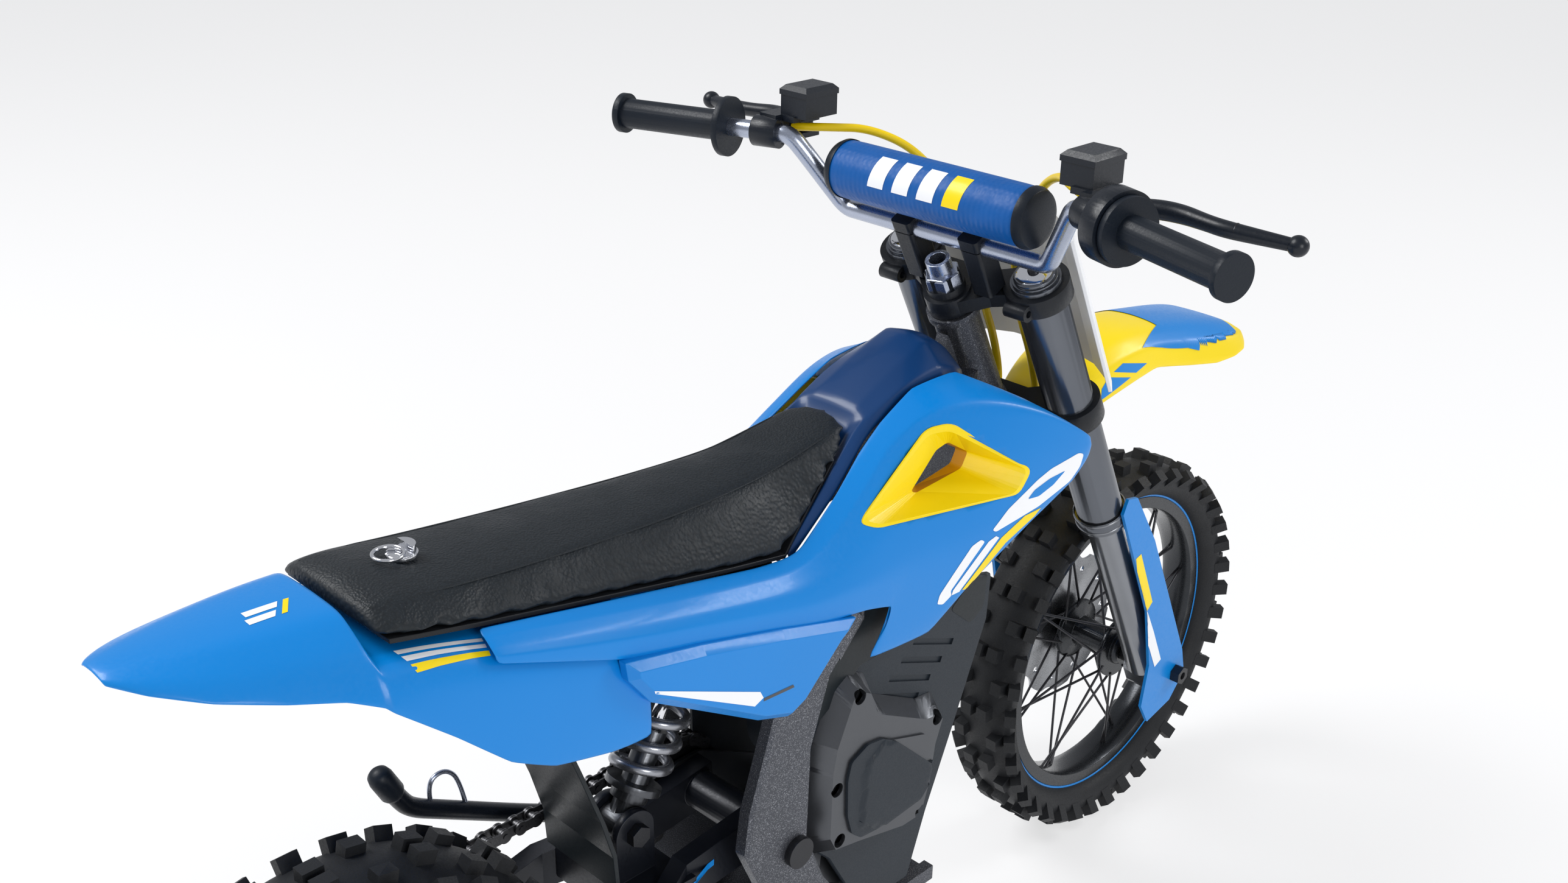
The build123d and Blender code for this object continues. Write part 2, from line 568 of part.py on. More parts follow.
guard = fork_guard().cut(Pos(AXLE_AHEAD, 40, AXLE_ALONG) * Rot(90, 0, 0) * Cylinder(AXLE_R, 10))
save("fork_guards", *forked(*both(guard)))
caliper = Pos(2.5, 17.2, -203.5) * Box(15, 8.4, 17)
caliper = fillet(caliper.edges().filter_by(Axis.Y), 3.5)
caliper = caliper.cut(Pos(2.5, 16.6, -203.5) * Box(30, 2.2, 30))
bridge = Pos(-3.0, 17.2, -196.5) * Box(4.0, 8.4, 4.0)
arm = Pos(7.0, 20.7, -204.0) * Box(12, 1.5, 6)
save("brake_caliper_front", *forked(caliper.fuse(bridge, arm)))


# ---------------------------------------------------------------- frame

SPAR = [
    (-12, 197), (-30, 192), (-46, 173), (-58, 136), (-60, 121), (-52, 103), (-42, 72), (-36, 52),
    (2, 52), (-8, 72), (-22, 92), (-31, 114), (-30, 150), (-22, 174), (-6, 190),
]


def main_frame():
    """Head tube, two spars, pivot plates, down tube, floor, seat rails and shock bracket."""
    head = steer_round(8.4, -61.6, -16.0).fuse(steer_round(9.6, -16.0, -13.0), steer_round(9.2, -61.6, -59.0))
    frame = STEER * head
    plates = [side_plate(SPAR, FRAME_IN, FRAME_OUT, corner=2.5, bevel=1.2)]
    beam_in = [(30.0, 178.0), (35.3, 178.0), (35.3, 195.0), (30.0, 195.0)]
    beam_out = [(2.0, 224.0), (9.0, 224.0), (9.0, 246.0), (2.0, 246.0)]
    plates.append(ruled([(-18.0, beam_in), (79.0, beam_out)]))
    plates.append(rod(2.8, (-22.0, 30.5, 189.0), (-60.0, 23.0, 203.5)))
    plates.append(rod(2.8, (-58.0, 23.0, 203.0), (-168.0, 17.0, 231.5)))
    plates.append(rod(4.4, (-20.0, 33.0, 188.0), (-20.0, 30.0, 188.0)))
    plates.append(block(-36.0, 44.0, 26.0, 30.4, 52.0, 58.0))
    plates.append(side_plate([(-57, 199), (-43, 199), (-28, 193), (-28, 186), (-44, 183), (-57, 188)], 6.4, 9.4))
    frame = frame.fuse(*both(*plates))
    gusset = side_plate([(63, 238), (69, 260), (82, 240), (86, 224), (78, 200), (68, 208)], -2.5, 2.5)
    down = side_plate([(71, 216), (86, 216), (52.5, 54), (38, 54)], -7.0, 7.0)
    tubes = [
        cross_rod(4.0, -31.0, 31.0, (-31.5, 189.5)),
        cross_rod(2.8, -17.5, 17.5, (-166.0, 231.0)),
        cross_rod(3.4, -30.5, 30.5, (-30.0, 60.0)),
        block(-36.0, 44.0, -30.0, 30.0, 52.0, 55.0),
        block(-160.0, -150.5, -18.0, 18.0, 227.5, 230.5),
        block(73.0, 79.8, -12.5, 12.5, 193.5, 200.5),
    ]
    frame = frame.fuse(gusset, down, *tubes)
    stand_boss = side_plate([(-66, 90), (-50, 90), (-46, 104), (-56, 108), (-66, 103)], FRAME_OUT - 2, 37.0)
    frame = frame.fuse(stand_boss)
    bores = [
        STEER * steer_round(5.4, -70, -10),
        STEER * steer_round(7.2, -18.0, -10.0),
        STEER * steer_round(7.2, -63.0, -57.0),
        cross_rod(AXLE_R, -40.0, 40.0, PIVOT),
        cross_rod(2.0, -12.0, 12.0, SHOCK_TOP),
        cross_rod(2.0, 30.0, 40.0, STAND_PIVOT),
        cross_z(2.5, 226.0, 232.0, LATCH_X, 0.0),
    ]
    return frame.cut(*bores)


save("main_frame", main_frame())
bearings = [steer_round(7.2, -17.8, -13.4), steer_round(7.2, -61.4, -57.2)]
stem_bore = steer_round(5.0 + RUNNING_GAP, -70, -10)
save("steering_bearings", *forked(*[ring.cut(stem_bore) for ring in bearings]))
pivot_bolt = cross_rod(AXLE_R, -37.0, 37.0, PIVOT)
pivot_bolt = pivot_bolt.fuse(cross_rod(5.6, 35.6, 38.2, PIVOT), cross_rod(5.6, -38.2, -35.6, PIVOT))
shock_bolt = cross_rod(2.0, -10.6, 10.6, SHOCK_TOP)
shock_bolt = shock_bolt.fuse(hex_rod(7.0, 9.4, 12.4, SHOCK_TOP), hex_rod(7.0, -12.4, -9.4, SHOCK_TOP))
stand_pin = cross_rod(2.0, 31.0, 43.2, STAND_PIVOT).fuse(cross_rod(3.4, 43.1, 44.6, STAND_PIVOT))
save("frame_bolts", pivot_bolt, shock_bolt, stand_pin)

skid = block(-34.0, 46.0, -29.0, 29.0, 48.0, 52.0)
save("skid_plate", chamfer(skid.faces().sort_by(Axis.Z)[0].edges(), 2.0))


def peg(side):
    """Foot peg with a serrated top on a lug below the pivot."""
    lug = side_plate([(-40, 80), (-24, 80), (-22, 70), (-36, 66)], FRAME_OUT + 0.1, FRAME_OUT + 5)
    tread = block(-37.0, -27.0, FRAME_OUT + 4, FRAME_OUT + 25, 70.0, 75.0)
    slots = [block(-35.0, -29.0, FRAME_OUT + 6 + 4 * i, FRAME_OUT + 8.6 + 4 * i, 69.0, 76.0) for i in range(5)]
    piece = lug.fuse(tread).cut(*slots)
    return piece if side > 0 else mirror(piece, about=Plane.XZ)


save("footpegs", peg(1), peg(-1))


# ---------------------------------------------------------------- drive, battery and electronics

MOTOR = (4.0, 84.0)
FLYWHEEL = (6.0, 131.0)
case = side_plate([(-46, 103), (-30, 96), (2, 70), (18, 78), (14, 98), (-30, 121), (-44, 121)], 19.8, 21.3, corner=5)
case = case.cut(cross_rod(4.6, 10, 30, PIVOT))
motor = cross_rod(14.5, -22.0, 18.0, MOTOR).fuse(cross_rod(5.0, 18.0, 19.9, MOTOR), case)
save("drive_motor", motor)
save("gyro_flywheel", cross_rod(19.0, -8.0, 8.0, FLYWHEEL).cut(cross_rod(2.06, -10, 10, FLYWHEEL)))
gyro_case = cross_rod(21.5, -11.0, 11.0, FLYWHEEL).cut(cross_rod(19.8, -9.0, 9.0, FLYWHEEL))
save("gyro_housing", gyro_case.fuse(cross_rod(2.0, -10.0, 10.0, FLYWHEEL)))
battery = block(-24.0, 40.0, -18.0, 18.0, 160.0, 184.0)
save("battery_pack", fillet(battery.edges(), 2.0))
receiver = block(22.0, 36.0, -15.0, 15.0, 62.0, 100.0)
servo = block(42.0, 60.0, -8.0, 8.0, 176.0, 203.0).fuse(cross_z(4.0, 203.0, 207.0, 50.0, 0.0))
save("electronics", fillet(receiver.edges(), 1.5), servo)


# ---------------------------------------------------------------- swingarm, shock and stand

ARM_SECTIONS = [
    (-31.0, [(12.5, 103.5), (19.6, 103.5), (19.6, 120.5), (12.5, 120.5)]),
    (-72.0, [(12.5, 100.5), (19.6, 100.5), (19.6, 116.0), (12.5, 116.0)]),
    (-98.0, [(24.0, 95.5), (31.0, 95.5), (31.0, 110.0), (24.0, 110.0)]),
    (-178.0, [(27.6, 78.5), (33.4, 78.5), (33.4, 92.0), (27.6, 92.0)]),
    (-202.0, [(27.6, 78.0), (33.4, 78.0), (33.4, 91.0), (27.6, 91.0)]),
]


def swingarm():
    """Two arms joined by a pivot barrel and a cross-member that carries the shock's clevis."""
    barrel = cross_rod(7.0, -19.6, 19.6, PIVOT)
    arms = both(ruled(ARM_SECTIONS))
    member = block(-94.0, -70.0, -22.0, 22.0, 100.0, 112.0)
    ears = []
    for y in (5.4, -8.4):
        base = block(-92.0, -76.0, y, y + 3.0, 108.0, SHOCK_EYE[1])
        ears.append(base.fuse(cross_rod(8.0, y, y + 3.0, SHOCK_EYE)))
    body = barrel.fuse(*arms, member, *ears)
    return body.cut(
        cross_rod(AXLE_R + RUNNING_GAP, -30, 30, PIVOT),
        cross_rod(2.0, -12, 12, SHOCK_EYE),
        cross_rod(AXLE_R, -40, 40, REAR_AXLE),
    )


save("swingarm", swingarm())
eye_bolt = cross_rod(2.0, -9.6, 9.6, SHOCK_EYE)
eye_bolt = eye_bolt.fuse(hex_rod(7.0, 8.4, 11.6, SHOCK_EYE), hex_rod(7.0, -11.6, -8.4, SHOCK_EYE))
rear_bar = cross_rod(AXLE_R, -37.0, 37.0, REAR_AXLE)
spacers = [cross_rod(4.6, -27.4, -21.6, REAR_AXLE), cross_rod(4.6, 25.8, 27.4, REAR_AXLE)]
rear_ends = [hex_rod(7.0, 33.6, 38.0, REAR_AXLE), hex_rod(7.0, -38.0, -33.6, REAR_AXLE)]
save("swingarm_bolts", rear_bar.fuse(*spacers, *rear_ends), eye_bolt)
rear_caliper = block(-168.0, -152.0, -25.4, -16.4, 84.0, 101.0)
rear_caliper = fillet(rear_caliper.edges().filter_by(Axis.Y), 4.0)
rear_caliper = rear_caliper.cut(block(-170.0, -155.0, -21.9, -19.3, 80.0, 104.0))
save("brake_caliper_rear", rear_caliper.fuse(block(-162.0, -154.0, -26.2, -24.0, 86.0, 90.0)))

SHOCK_LENGTH = hypot(SHOCK_TOP[0] - SHOCK_EYE[0], SHOCK_TOP[1] - SHOCK_EYE[1])
SHOCK = Plane(
    origin=(SHOCK_EYE[0], 0, SHOCK_EYE[1]),
    x_dir=(SHOCK_TOP[1] - SHOCK_EYE[1], 0, SHOCK_EYE[0] - SHOCK_TOP[0]),
    z_dir=(SHOCK_TOP[0] - SHOCK_EYE[0], 0, SHOCK_TOP[1] - SHOCK_EYE[1]),
)
SPRING_R = 7.8
WIRE_R = 1.55
SPRING_LOW = 15.0
SPRING_HIGH = 60.0
SPRING_TURNS = 4.6

lower_body = Pos(0, 0, 9.0) * Cylinder(4.6, 14)
lower_body = lower_body.fuse(Pos(0, 0, 11.6) * Cylinder(6.4, 6.0), Pos(0, 0, 13.7) * Cylinder(9.6, 2.4))
lower_body = lower_body.fuse(Rot(90, 0, 0) * Cylinder(5.6, 10.0), Pos(0, 0, 24.0) * Cylinder(4.6, 18.0))
lower_body = lower_body.cut(Rot(90, 0, 0) * Cylinder(2.35, 12.0), Pos(0, 0, 31.0) * Cylinder(2.55, 30.0))
save("shock_body", SHOCK * lower_body)
upper_rod = Pos(0, 0, 44.5) * Cylinder(2.5, 35.0)
upper_rod = upper_rod.fuse(Pos(0, 0, 62.0) * Cylinder(9.0, 2.2), Pos(0, 0, 64.0) * Cylinder(4.4, 6.0))
upper_rod = upper_rod.fuse(Pos(0, 0, SHOCK_LENGTH) * Rot(90, 0, 0) * Cylinder(5.2, 12.0))
save("shock_rod", SHOCK * upper_rod.cut(Pos(0, 0, SHOCK_LENGTH) * Rot(90, 0, 0) * Cylinder(2.06, 14.0)))
coil_height = SPRING_HIGH - SPRING_LOW - 2 * WIRE_R
coil_path = Helix(coil_height / SPRING_TURNS, coil_height, SPRING_R)
coil = sweep(Plane(origin=coil_path @ 0, z_dir=coil_path % 0) * Circle(WIRE_R), coil_path)
save("shock_spring", SHOCK * Pos(0, 0, SPRING_LOW + WIRE_R) * coil)

STAND_Y = 40.0
stand = tube_path(
    [(STAND_PIVOT[0], STAND_Y, STAND_PIVOT[1]), (-97.0, STAND_Y, 118.0), (-137.0, STAND_Y, 141.0),
     (-146.0, STAND_Y, 157.0)],
    [60.0, 8.0], 2.9,
)
stand_hub = cross_rod(4.6, 37.2, 43.0, STAND_PIVOT)
foot_pad = Pos(-146.3, STAND_Y, 157.5) * Sphere(3.6)
loop = tube_path(
    [(-126.0, STAND_Y, 134.8), (-131.5, STAND_Y, 149.0), (-122.0, STAND_Y, 153.0), (-112.0, STAND_Y, 143.0),
     (-110.0, STAND_Y, 125.8)],
    [3.0, 4.0, 5.0], 0.7,
)
save("kickstand", stand.fuse(stand_hub, foot_pad, loop).cut(cross_rod(2.06, 34.0, 46.0, STAND_PIVOT)))


# ---------------------------------------------------------------- bodywork and seat

REAR_FENDER = [
    (-241.0, [(0, 255.4), (2.5, 255.2), (5.0, 254.8), (6.5, 253.8)]),
    (-234.0, [(0, 256.0), (5.5, 255.5), (11.0, 253.8), (14.0, 251.2)]),
    (-222.0, [(0, 256.2), (9.4, 255.3), (17.0, 251.8), (22.0, 247.2)]),
    (-206.0, [(0, 256.2), (12.8, 255.0), (22.0, 249.4), (28.0, 242.4)]),
    (-192.0, [(0, 255.6), (14.4, 254.4), (25.0, 247.6), (31.0, 238.2)]),
    (-183.5, [(0, 254.6), (15, 253.8), (26.5, 246.0), (33.0, 233.0)]),
    (-181.2, [(0, 243.5), (15, 243.0), (29.5, 242.0), (34.0, 231.0)]),
    (-165.0, [(0, 241.5), (18, 241.0), (32.0, 240.0), (36.4, 217.0)]),
    (-150.0, [(0, 238.5), (20, 238.0), (33.8, 236.2), (37.4, 202.0)]),
    (-135.0, [(0, 236.0), (20, 235.5), (34.6, 231.4), (37.8, 194.5)]),
    (-115.0, [(0, 232.0), (20, 231.5), (35.0, 226.0), (37.4, 189.5)]),
    (-100.0, [(0, 229.0), (20, 228.5), (35.0, 222.0), (36.8, 187.5)]),
]
LATCH_HOLE = cross_z(3.2, 225.0, 248.0, LATCH_X, 0.0)
save("rear_fender", arched_skin(REAR_FENDER).cut(LATCH_HOLE))

TANK = [
    (-30.0, [(0, 216.0), (21.0, 216.0), (25.0, 220.0), (26.6, 217.5)]),
    (-8.0, [(0, 231.5), (14.0, 231.5), (19.0, 236.0), (23.0, 232.0)]),
    (11.0, [(0, 243.5), (9.5, 243.5), (14.0, 247.4), (18.0, 243.5)]),
    (15.0, [(0, 252.0), (9.0, 251.4), (14.8, 249.4), (17.4, 246.0)]),
    (31.0, [(0, 260.0), (9.0, 258.6), (15.6, 256.3), (17.0, 252.0)]),
    (48.0, [(0, 266.4), (8.5, 264.6), (16.4, 257.6), (18.0, 252.5)]),
    (58.0, [(0, 264.5), (8.0, 262.0), (15.5, 255.6), (17.0, 251.0)]),
    (64.5, [(0, 258.0), (7.0, 256.0), (13.0, 251.5), (14.0, 248.0)]),
]
save("tank_cover", arched_skin(TANK))

SHROUD = [
    (-152.0, [(27.6, 242.0), (31.0, 240.6), (34.0, 238.4), (35.8, 236.6), (36.4, 234.6)]),
    (-116.0, [(28.4, 235.0), (32.5, 232.6), (36.0, 229.6), (38.0, 226.4), (38.4, 221.0)]),
    (-80.0, [(28.4, 228.0), (33.0, 225.2), (37.0, 221.6), (38.8, 217.6), (38.8, 208.0)]),
    (-50.0, [(28.4, 222.0), (33.2, 218.8), (37.4, 214.8), (39.0, 209.6), (39.0, 200.0)]),
    (-34.0, [(28.4, 219.0), (33.6, 216.4), (37.8, 211.4), (39.4, 206.0), (39.4, 197.0)]),
    (-10.0, [(24.6, 232.4), (30.6, 226.0), (35.6, 215.0), (39.2, 204.0), (39.4, 196.0)]),
    (12.0, [(19.6, 245.6), (25.6, 243.0), (33.4, 226.0), (39.0, 204.0), (38.6, 176.0)]),
    (30.0, [(18.6, 256.2), (28.4, 250.2), (35.0, 230.0), (40.0, 204.0), (38.6, 173.0)]),
    (52.0, [(19.6, 257.2), (34.0, 249.6), (39.4, 229.0), (42.6, 205.0), (41.0, 185.0)]),
    (75.0, [(33.4, 244.0), (42.0, 242.0), (44.6, 226.0), (44.6, 212.0), (43.6, 202.0)]),
    (92.0, [(43.6, 231.8), (46.2, 230.4), (47.4, 223.0), (47.0, 216.0), (46.0, 211.0)]),
    (98.5, [(46.4, 226.8), (47.2, 226.0), (47.8, 223.5), (47.4, 221.0), (46.8, 218.8)]),
]
VENT_RIM = [(-5.0, 224.5), (15.0, 241.0), (34.0, 242.0), (71.0, 219.0), (68.0, 214.0), (30.0, 217.0)]
VENT_THROAT = [(22.0, 224.5), (27.5, 234.5), (40.0, 233.5), (46.5, 229.5), (45.0, 226.0), (36.0, 222.5)]
COVER = [
    (-112, 219.4), (-104, 217.8), (-83, 213.4), (-50, 205), (-16, 195.5), (-24, 190), (-40, 175), (-47, 172),
    (-60, 176.5), (-103, 202.5), (-111, 213),
]
shroud = side_skin(SHROUD).cut(side_plate(VENT_RIM, 20.0, 50.0), side_plate(COVER, 34.0, 46.0))
save("shrouds", *both(shroud))


def funnel(rim_outline, throat_outline, rim_y, throat_y, inset):
    """Solid between two outlines in planes parallel to the middle plane, both drawn in by inset."""
    wires = []
    for outline, y in ((rim_outline, rim_y), (throat_outline, throat_y)):
        cx = sum(x for x, z in outline) / len(outline)
        cz = sum(z for x, z in outline) / len(outline)
        points = []
        for x, z in outline:
            reach = hypot(x - cx, z - cz)
            points.append((x - inset * (x - cx) / reach, y, z - inset * (z - cz) / reach))
        wires.append(Wire.make_polygon(points, close=True))
    return Solid.make_loft(wires, ruled=True)


vent = funnel(VENT_RIM, VENT_THROAT, 36.0, 27.0, 0.5).cut(funnel(VENT_RIM, VENT_THROAT, 36.1, 26.9, 2.0))
save("vent_inserts", *both(vent))

cover = side_plate(COVER, 37.0, 42.6, bevel=2.6)
cover = cover.cut(side_plate([(-105, 212), (-99, 214), (-50, 201), (-24, 195), (-46, 177), (-59, 181)], 36.0, 40.6))
save("side_covers", *both(cover))

FLAP_LINE = [(-121.0, 196.0), (-112.0, 172.0), (-104.0, 150.0), (-99.5, 134.0), (-98.5, 120.0)]
flap = side_plate(mitred(FLAP_LINE, 1.6), -18.0, 18.0)
save("inner_mudguard", flap)

GUARD = [
    (-3, 167), (16, 167.5), (48, 181), (69, 175.5), (68, 157), (52, 117), (39, 86), (30, 60), (4, 60), (-14, 92),
    (-26, 104), (-27, 150),
]
lower_guard = side_plate(GUARD, 27.8, 29.4, corner=2.0, bevel=0.6)
louvres = []
for i in range(4):
    louvres.append(side_plate([(8 + 6 * i, 148 + 5 * i), (30 + 6 * i, 139 + 5 * i), (31 + 6 * i, 141.2 + 5 * i),
                               (9 + 6 * i, 150.2 + 5 * i)], 28.6, 30.0))
save("lower_guards", *both(lower_guard.cut(*louvres)))

MOTOR_COVER = [
    (-9, 168), (0, 163), (4, 153), (28, 140), (37, 139), (41, 132), (37, 121), (35, 106), (30, 90), (16, 90),
    (-8, 96), (-22, 99), (-26.5, 108), (-26, 136), (-24, 146), (-16, 164),
]
cover_plane = Plane(origin=(0, 29.5, 0), x_dir=(1, 0, 0), z_dir=(0, 1, 0))
flipped = make_face(Polyline(*[(x, -z) for x, z in MOTOR_COVER], close=True))
flipped = fillet(flipped.vertices(), 2.0)
shell = extrude(cover_plane * flipped, 7.5, taper=32)
hollow = extrude(cover_plane * offset(flipped, -2.2, kind=Kind.INTERSECTION), 5.9, taper=32)
raised = side_plate([(2, 138), (26, 130), (30, 118), (26, 98), (4, 102), (-8, 108), (-6, 132)], 36.0, 37.8, corner=3)
motor_cover = shell.cut(hollow).fuse(raised)
SCREWS = [(-9, 160.5), (33, 133.0), (-19, 128.0), (-17, 106.0), (26, 96.0)]
bosses = [cross_rod(3.6, 29.6, 33.6, place) for place in SCREWS]
motor_cover = motor_cover.fuse(*bosses).cut(*[cross_rod(1.6, 29.0, 40.0, place) for place in SCREWS])
motor_cover = motor_cover.cut(*[cross_rod(2.7, 32.0, 40.0, place) for place in SCREWS])
save("motor_covers", *both(motor_cover))
screw_set = [cross_rod(1.5, 29.6, 32.0, place).fuse(cross_rod(2.5, 32.0, 33.4, place)) for place in SCREWS]
save("cover_screws", *both(*screw_set))

SEAT = [
    (-180.0, [(0, 253.4), (16.5, 252.6), (24.0, 249.6), (24.5, 248.2)]),
    (-176.0, [(0, 256.2), (17.8, 254.2), (25.6, 249.6), (26.0, 247.2)]),
    (-150.0, [(0, 252.8), (18.6, 249.6), (27.0, 243.8), (27.4, 242.2)]),
    (-120.0, [(0, 248.8), (18.2, 246.4), (27.6, 237.8), (27.8, 236.4)]),
    (-90.0, [(0, 246.2), (17.6, 244.0), (27.6, 231.8), (27.8, 230.4)]),
    (-60.0, [(0, 244.4), (16.3, 242.2), (27.6, 226.0), (27.8, 224.6)]),
    (-35.0, [(0, 243.8), (14.2, 241.6), (27.0, 221.6), (27.2, 220.0)]),
    (-24.0, [(0, 244.8), (13.2, 242.4), (23.4, 228.4), (23.6, 227.0)]),
    (-4.0, [(0, 248.2), (12.4, 245.8), (17.6, 240.4), (17.8, 239.4)]),
    (9.5, [(0, 251.0), (11.4, 249.0), (12.4, 248.0), (12.6, 247.6)]),
]


def seat_cushion():
    """Saddle: crowned top, sides that slope outwards, front end cut back over the tank."""
    outlines = []
    for x, half in SEAT:
        outlines.append((x, [(-y, z) for y, z in half[:0:-1]] + half))
    return ruled(outlines)


LATCH_BORE = cross_z(2.7, 225.0, 262.0, LATCH_X, 0.0)
save("seat_cushion", seat_cushion().cut(LATCH_BORE))
base_outlines = []
for x, half in SEAT[1:-1]:
    y, z = half[-1]
    base_outlines.append((x, [(1.0 - y, z), (y - 1.0, z), (y - 1.0, z - 1.5), (1.0 - y, z - 1.5)]))
save("seat_base", ruled(base_outlines).cut(LATCH_BORE))

# Quarter-turn latch through the seat, with a finger ring that folds up
RING_R = 4.2
RING_Z = 255.9
head = cross_z(4.4, 254.0, 254.9, LATCH_X, 0.0).fuse(cross_z(3.9, 254.9, 257.4, LATCH_X, 0.0))
head = head.cut(block(LATCH_X - 6.0, LATCH_X + 1.3, -6.0, 6.0, 255.1, 260.0))
shank = cross_z(2.3, 228.0, 254.0, LATCH_X, 0.0)
save("seat_latch", head.fuse(shank), Pos(LATCH_X - RING_R, 0, RING_Z) * Torus(RING_R, 0.55))
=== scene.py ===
import json
from math import cos, pi, radians, sin

import bmesh
import bpy
from mathutils import Matrix, Vector
from mathutils.bvhtree import BVHTree


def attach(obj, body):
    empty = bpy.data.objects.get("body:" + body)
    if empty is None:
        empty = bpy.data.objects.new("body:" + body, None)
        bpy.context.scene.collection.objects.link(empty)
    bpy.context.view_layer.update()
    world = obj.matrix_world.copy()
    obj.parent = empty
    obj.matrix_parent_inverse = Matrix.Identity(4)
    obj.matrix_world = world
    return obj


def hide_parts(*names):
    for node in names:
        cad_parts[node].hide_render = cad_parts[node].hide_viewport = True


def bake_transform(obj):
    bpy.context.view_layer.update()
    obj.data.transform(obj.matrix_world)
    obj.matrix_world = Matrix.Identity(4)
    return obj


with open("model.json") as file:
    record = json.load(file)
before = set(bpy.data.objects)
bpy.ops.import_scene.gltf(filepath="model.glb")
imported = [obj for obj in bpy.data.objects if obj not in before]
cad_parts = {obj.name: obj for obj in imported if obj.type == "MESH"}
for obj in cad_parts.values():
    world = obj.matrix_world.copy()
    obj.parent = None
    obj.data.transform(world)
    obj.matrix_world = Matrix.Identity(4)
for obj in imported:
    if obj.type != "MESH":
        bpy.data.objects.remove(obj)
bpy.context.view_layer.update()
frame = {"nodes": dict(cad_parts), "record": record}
NODES = frame["nodes"]
MM = 0.001
ROOT = "chassis"
HEAD = "steering_head"

# Main places of the motorcycle, in millimetres: X forwards, Y to the rider's left, Z up
FRONT_AXLE = (189.0, 86.0)
REAR_AXLE = (-191.0, 84.0)
SHOCK_TOP = (-50.0, 191.0)
SHOCK_EYE = (-84.0, 129.0)
STAND_PIVOT = (-60.0, 97.0)
RAKE = radians(27.0)
STEER_TOP = (67.7, 281.3)


# ---------------------------------------------------------------- materials

def wire(tree, source, target):
    """Joins an output socket to an input socket."""
    tree.links.new(source, target)


def noise(tree, coords, scale, detail=3.0, rough=0.55):
    """Noise of that many grains per metre."""
    node = tree.nodes.new("ShaderNodeTexNoise")
    node.inputs["Scale"].default_value = scale
    node.inputs["Detail"].default_value = detail
    node.inputs["Roughness"].default_value = rough
    wire(tree, coords, node.inputs["Vector"])
    return node.outputs["Fac"]


def cells(tree, coords, scale):
    """Pebbled cells of that many per metre."""
    node = tree.nodes.new("ShaderNodeTexVoronoi")
    node.feature = "SMOOTH_F1"
    node.inputs["Scale"].default_value = scale
    wire(tree, coords, node.inputs["Vector"])
    return node.outputs["Distance"]


def spread(tree, value, low, high, from_low=0.3, from_high=0.7):
    """Maps a texture's value onto a range."""
    node = tree.nodes.new("ShaderNodeMapRange")
    node.inputs["From Min"].default_value = from_low
    node.inputs["From Max"].default_value = from_high
    node.inputs["To Min"].default_value = low
    node.inputs["To Max"].default_value = high
    wire(tree, value, node.inputs["Value"])
    return node.outputs["Result"]


def blend_colour(tree, factor, first, second):
    """Mixes two colours, each an RGB tuple or a colour socket."""
    node = tree.nodes.new("ShaderNodeMix")
    node.data_type = "RGBA"
    wire(tree, factor, node.inputs["Factor"])
    for socket, colour in ((node.inputs[6], first), (node.inputs[7], second)):
        if isinstance(colour, tuple):
            socket.default_value = (*colour, 1.0)
        else:
            wire(tree, colour, socket)
    return node.outputs[2]


def bump(tree, height, distance, strength=1.0, under=None):
    """Bump of that depth in metres."""
    node = tree.nodes.new("ShaderNodeBump")
    node.inputs["Strength"].default_value = strength
    node.inputs["Distance"].default_value = distance
    wire(tree, height, node.inputs["Height"])
    if under is not None:
        wire(tree, under, node.inputs["Normal"])
    return node.outputs["Normal"]


def new_material(name):
    """Empty principled material with its object coordinates."""
    made = bpy.data.materials.new(name)
    made.use_nodes = True
    tree = made.node_tree
    surface = tree.nodes["Principled BSDF"]
    coords = tree.nodes.new("ShaderNodeTexCoord").outputs["Object"]
    return made, tree, surface, coords


def material(name, colour, rough, metal=0.0, coat=0.0, vary=0.12, patch=60.0, grain=900.0, depth=0.00002,
             rough_vary=0.08, specular=0.5):
    """Paint, plastic, rubber or metal: uneven colour, uneven gloss and a fine grain, all at real scale."""
    made, tree, surface, coords = new_material(name)
    dark = tuple(c * (1.0 - vary) for c in colour)
    light = tuple(min(1.0, c * (1.0 + vary) + vary * 0.01) for c in colour)
    broad = noise(tree, coords, patch)
    fine = noise(tree, coords, grain, detail=4.0)
    wire(tree, blend_colour(tree, broad, dark, light), surface.inputs["Base Color"])
    wire(tree, spread(tree, fine, rough - rough_vary, rough + rough_vary), surface.inputs["Roughness"])
    wire(tree, bump(tree, fine, depth), surface.inputs["Normal"])
    surface.inputs["Metallic"].default_value = metal
    surface.inputs["Coat Weight"].default_value = coat
    surface.inputs["Coat Roughness"].default_value = 0.12
    surface.inputs["Specular IOR Level"].default_value = specular
    return made


def speckled(name, colour, fleck, rough):
    """Cast metal paint with bright flecks in it."""
    made, tree, surface, coords = new_material(name)
    flecks = spread(tree, noise(tree, coords, 2600.0, detail=2.0), 0.0, 1.0, 0.52, 0.75)
    broad = blend_colour(tree, noise(tree, coords, 50.0), tuple(c * 0.8 for c in colour), colour)
    wire(tree, blend_colour(tree, flecks, broad, fleck), surface.inputs["Base Color"])
    wire(tree, spread(tree, flecks, rough + 0.08, rough - 0.12, 0.0, 1.0), surface.inputs["Roughness"])
    wire(tree, bump(tree, noise(tree, coords, 1300.0), 0.00005), surface.inputs["Normal"])
    surface.inputs["Metallic"].default_value = 0.75
    return made


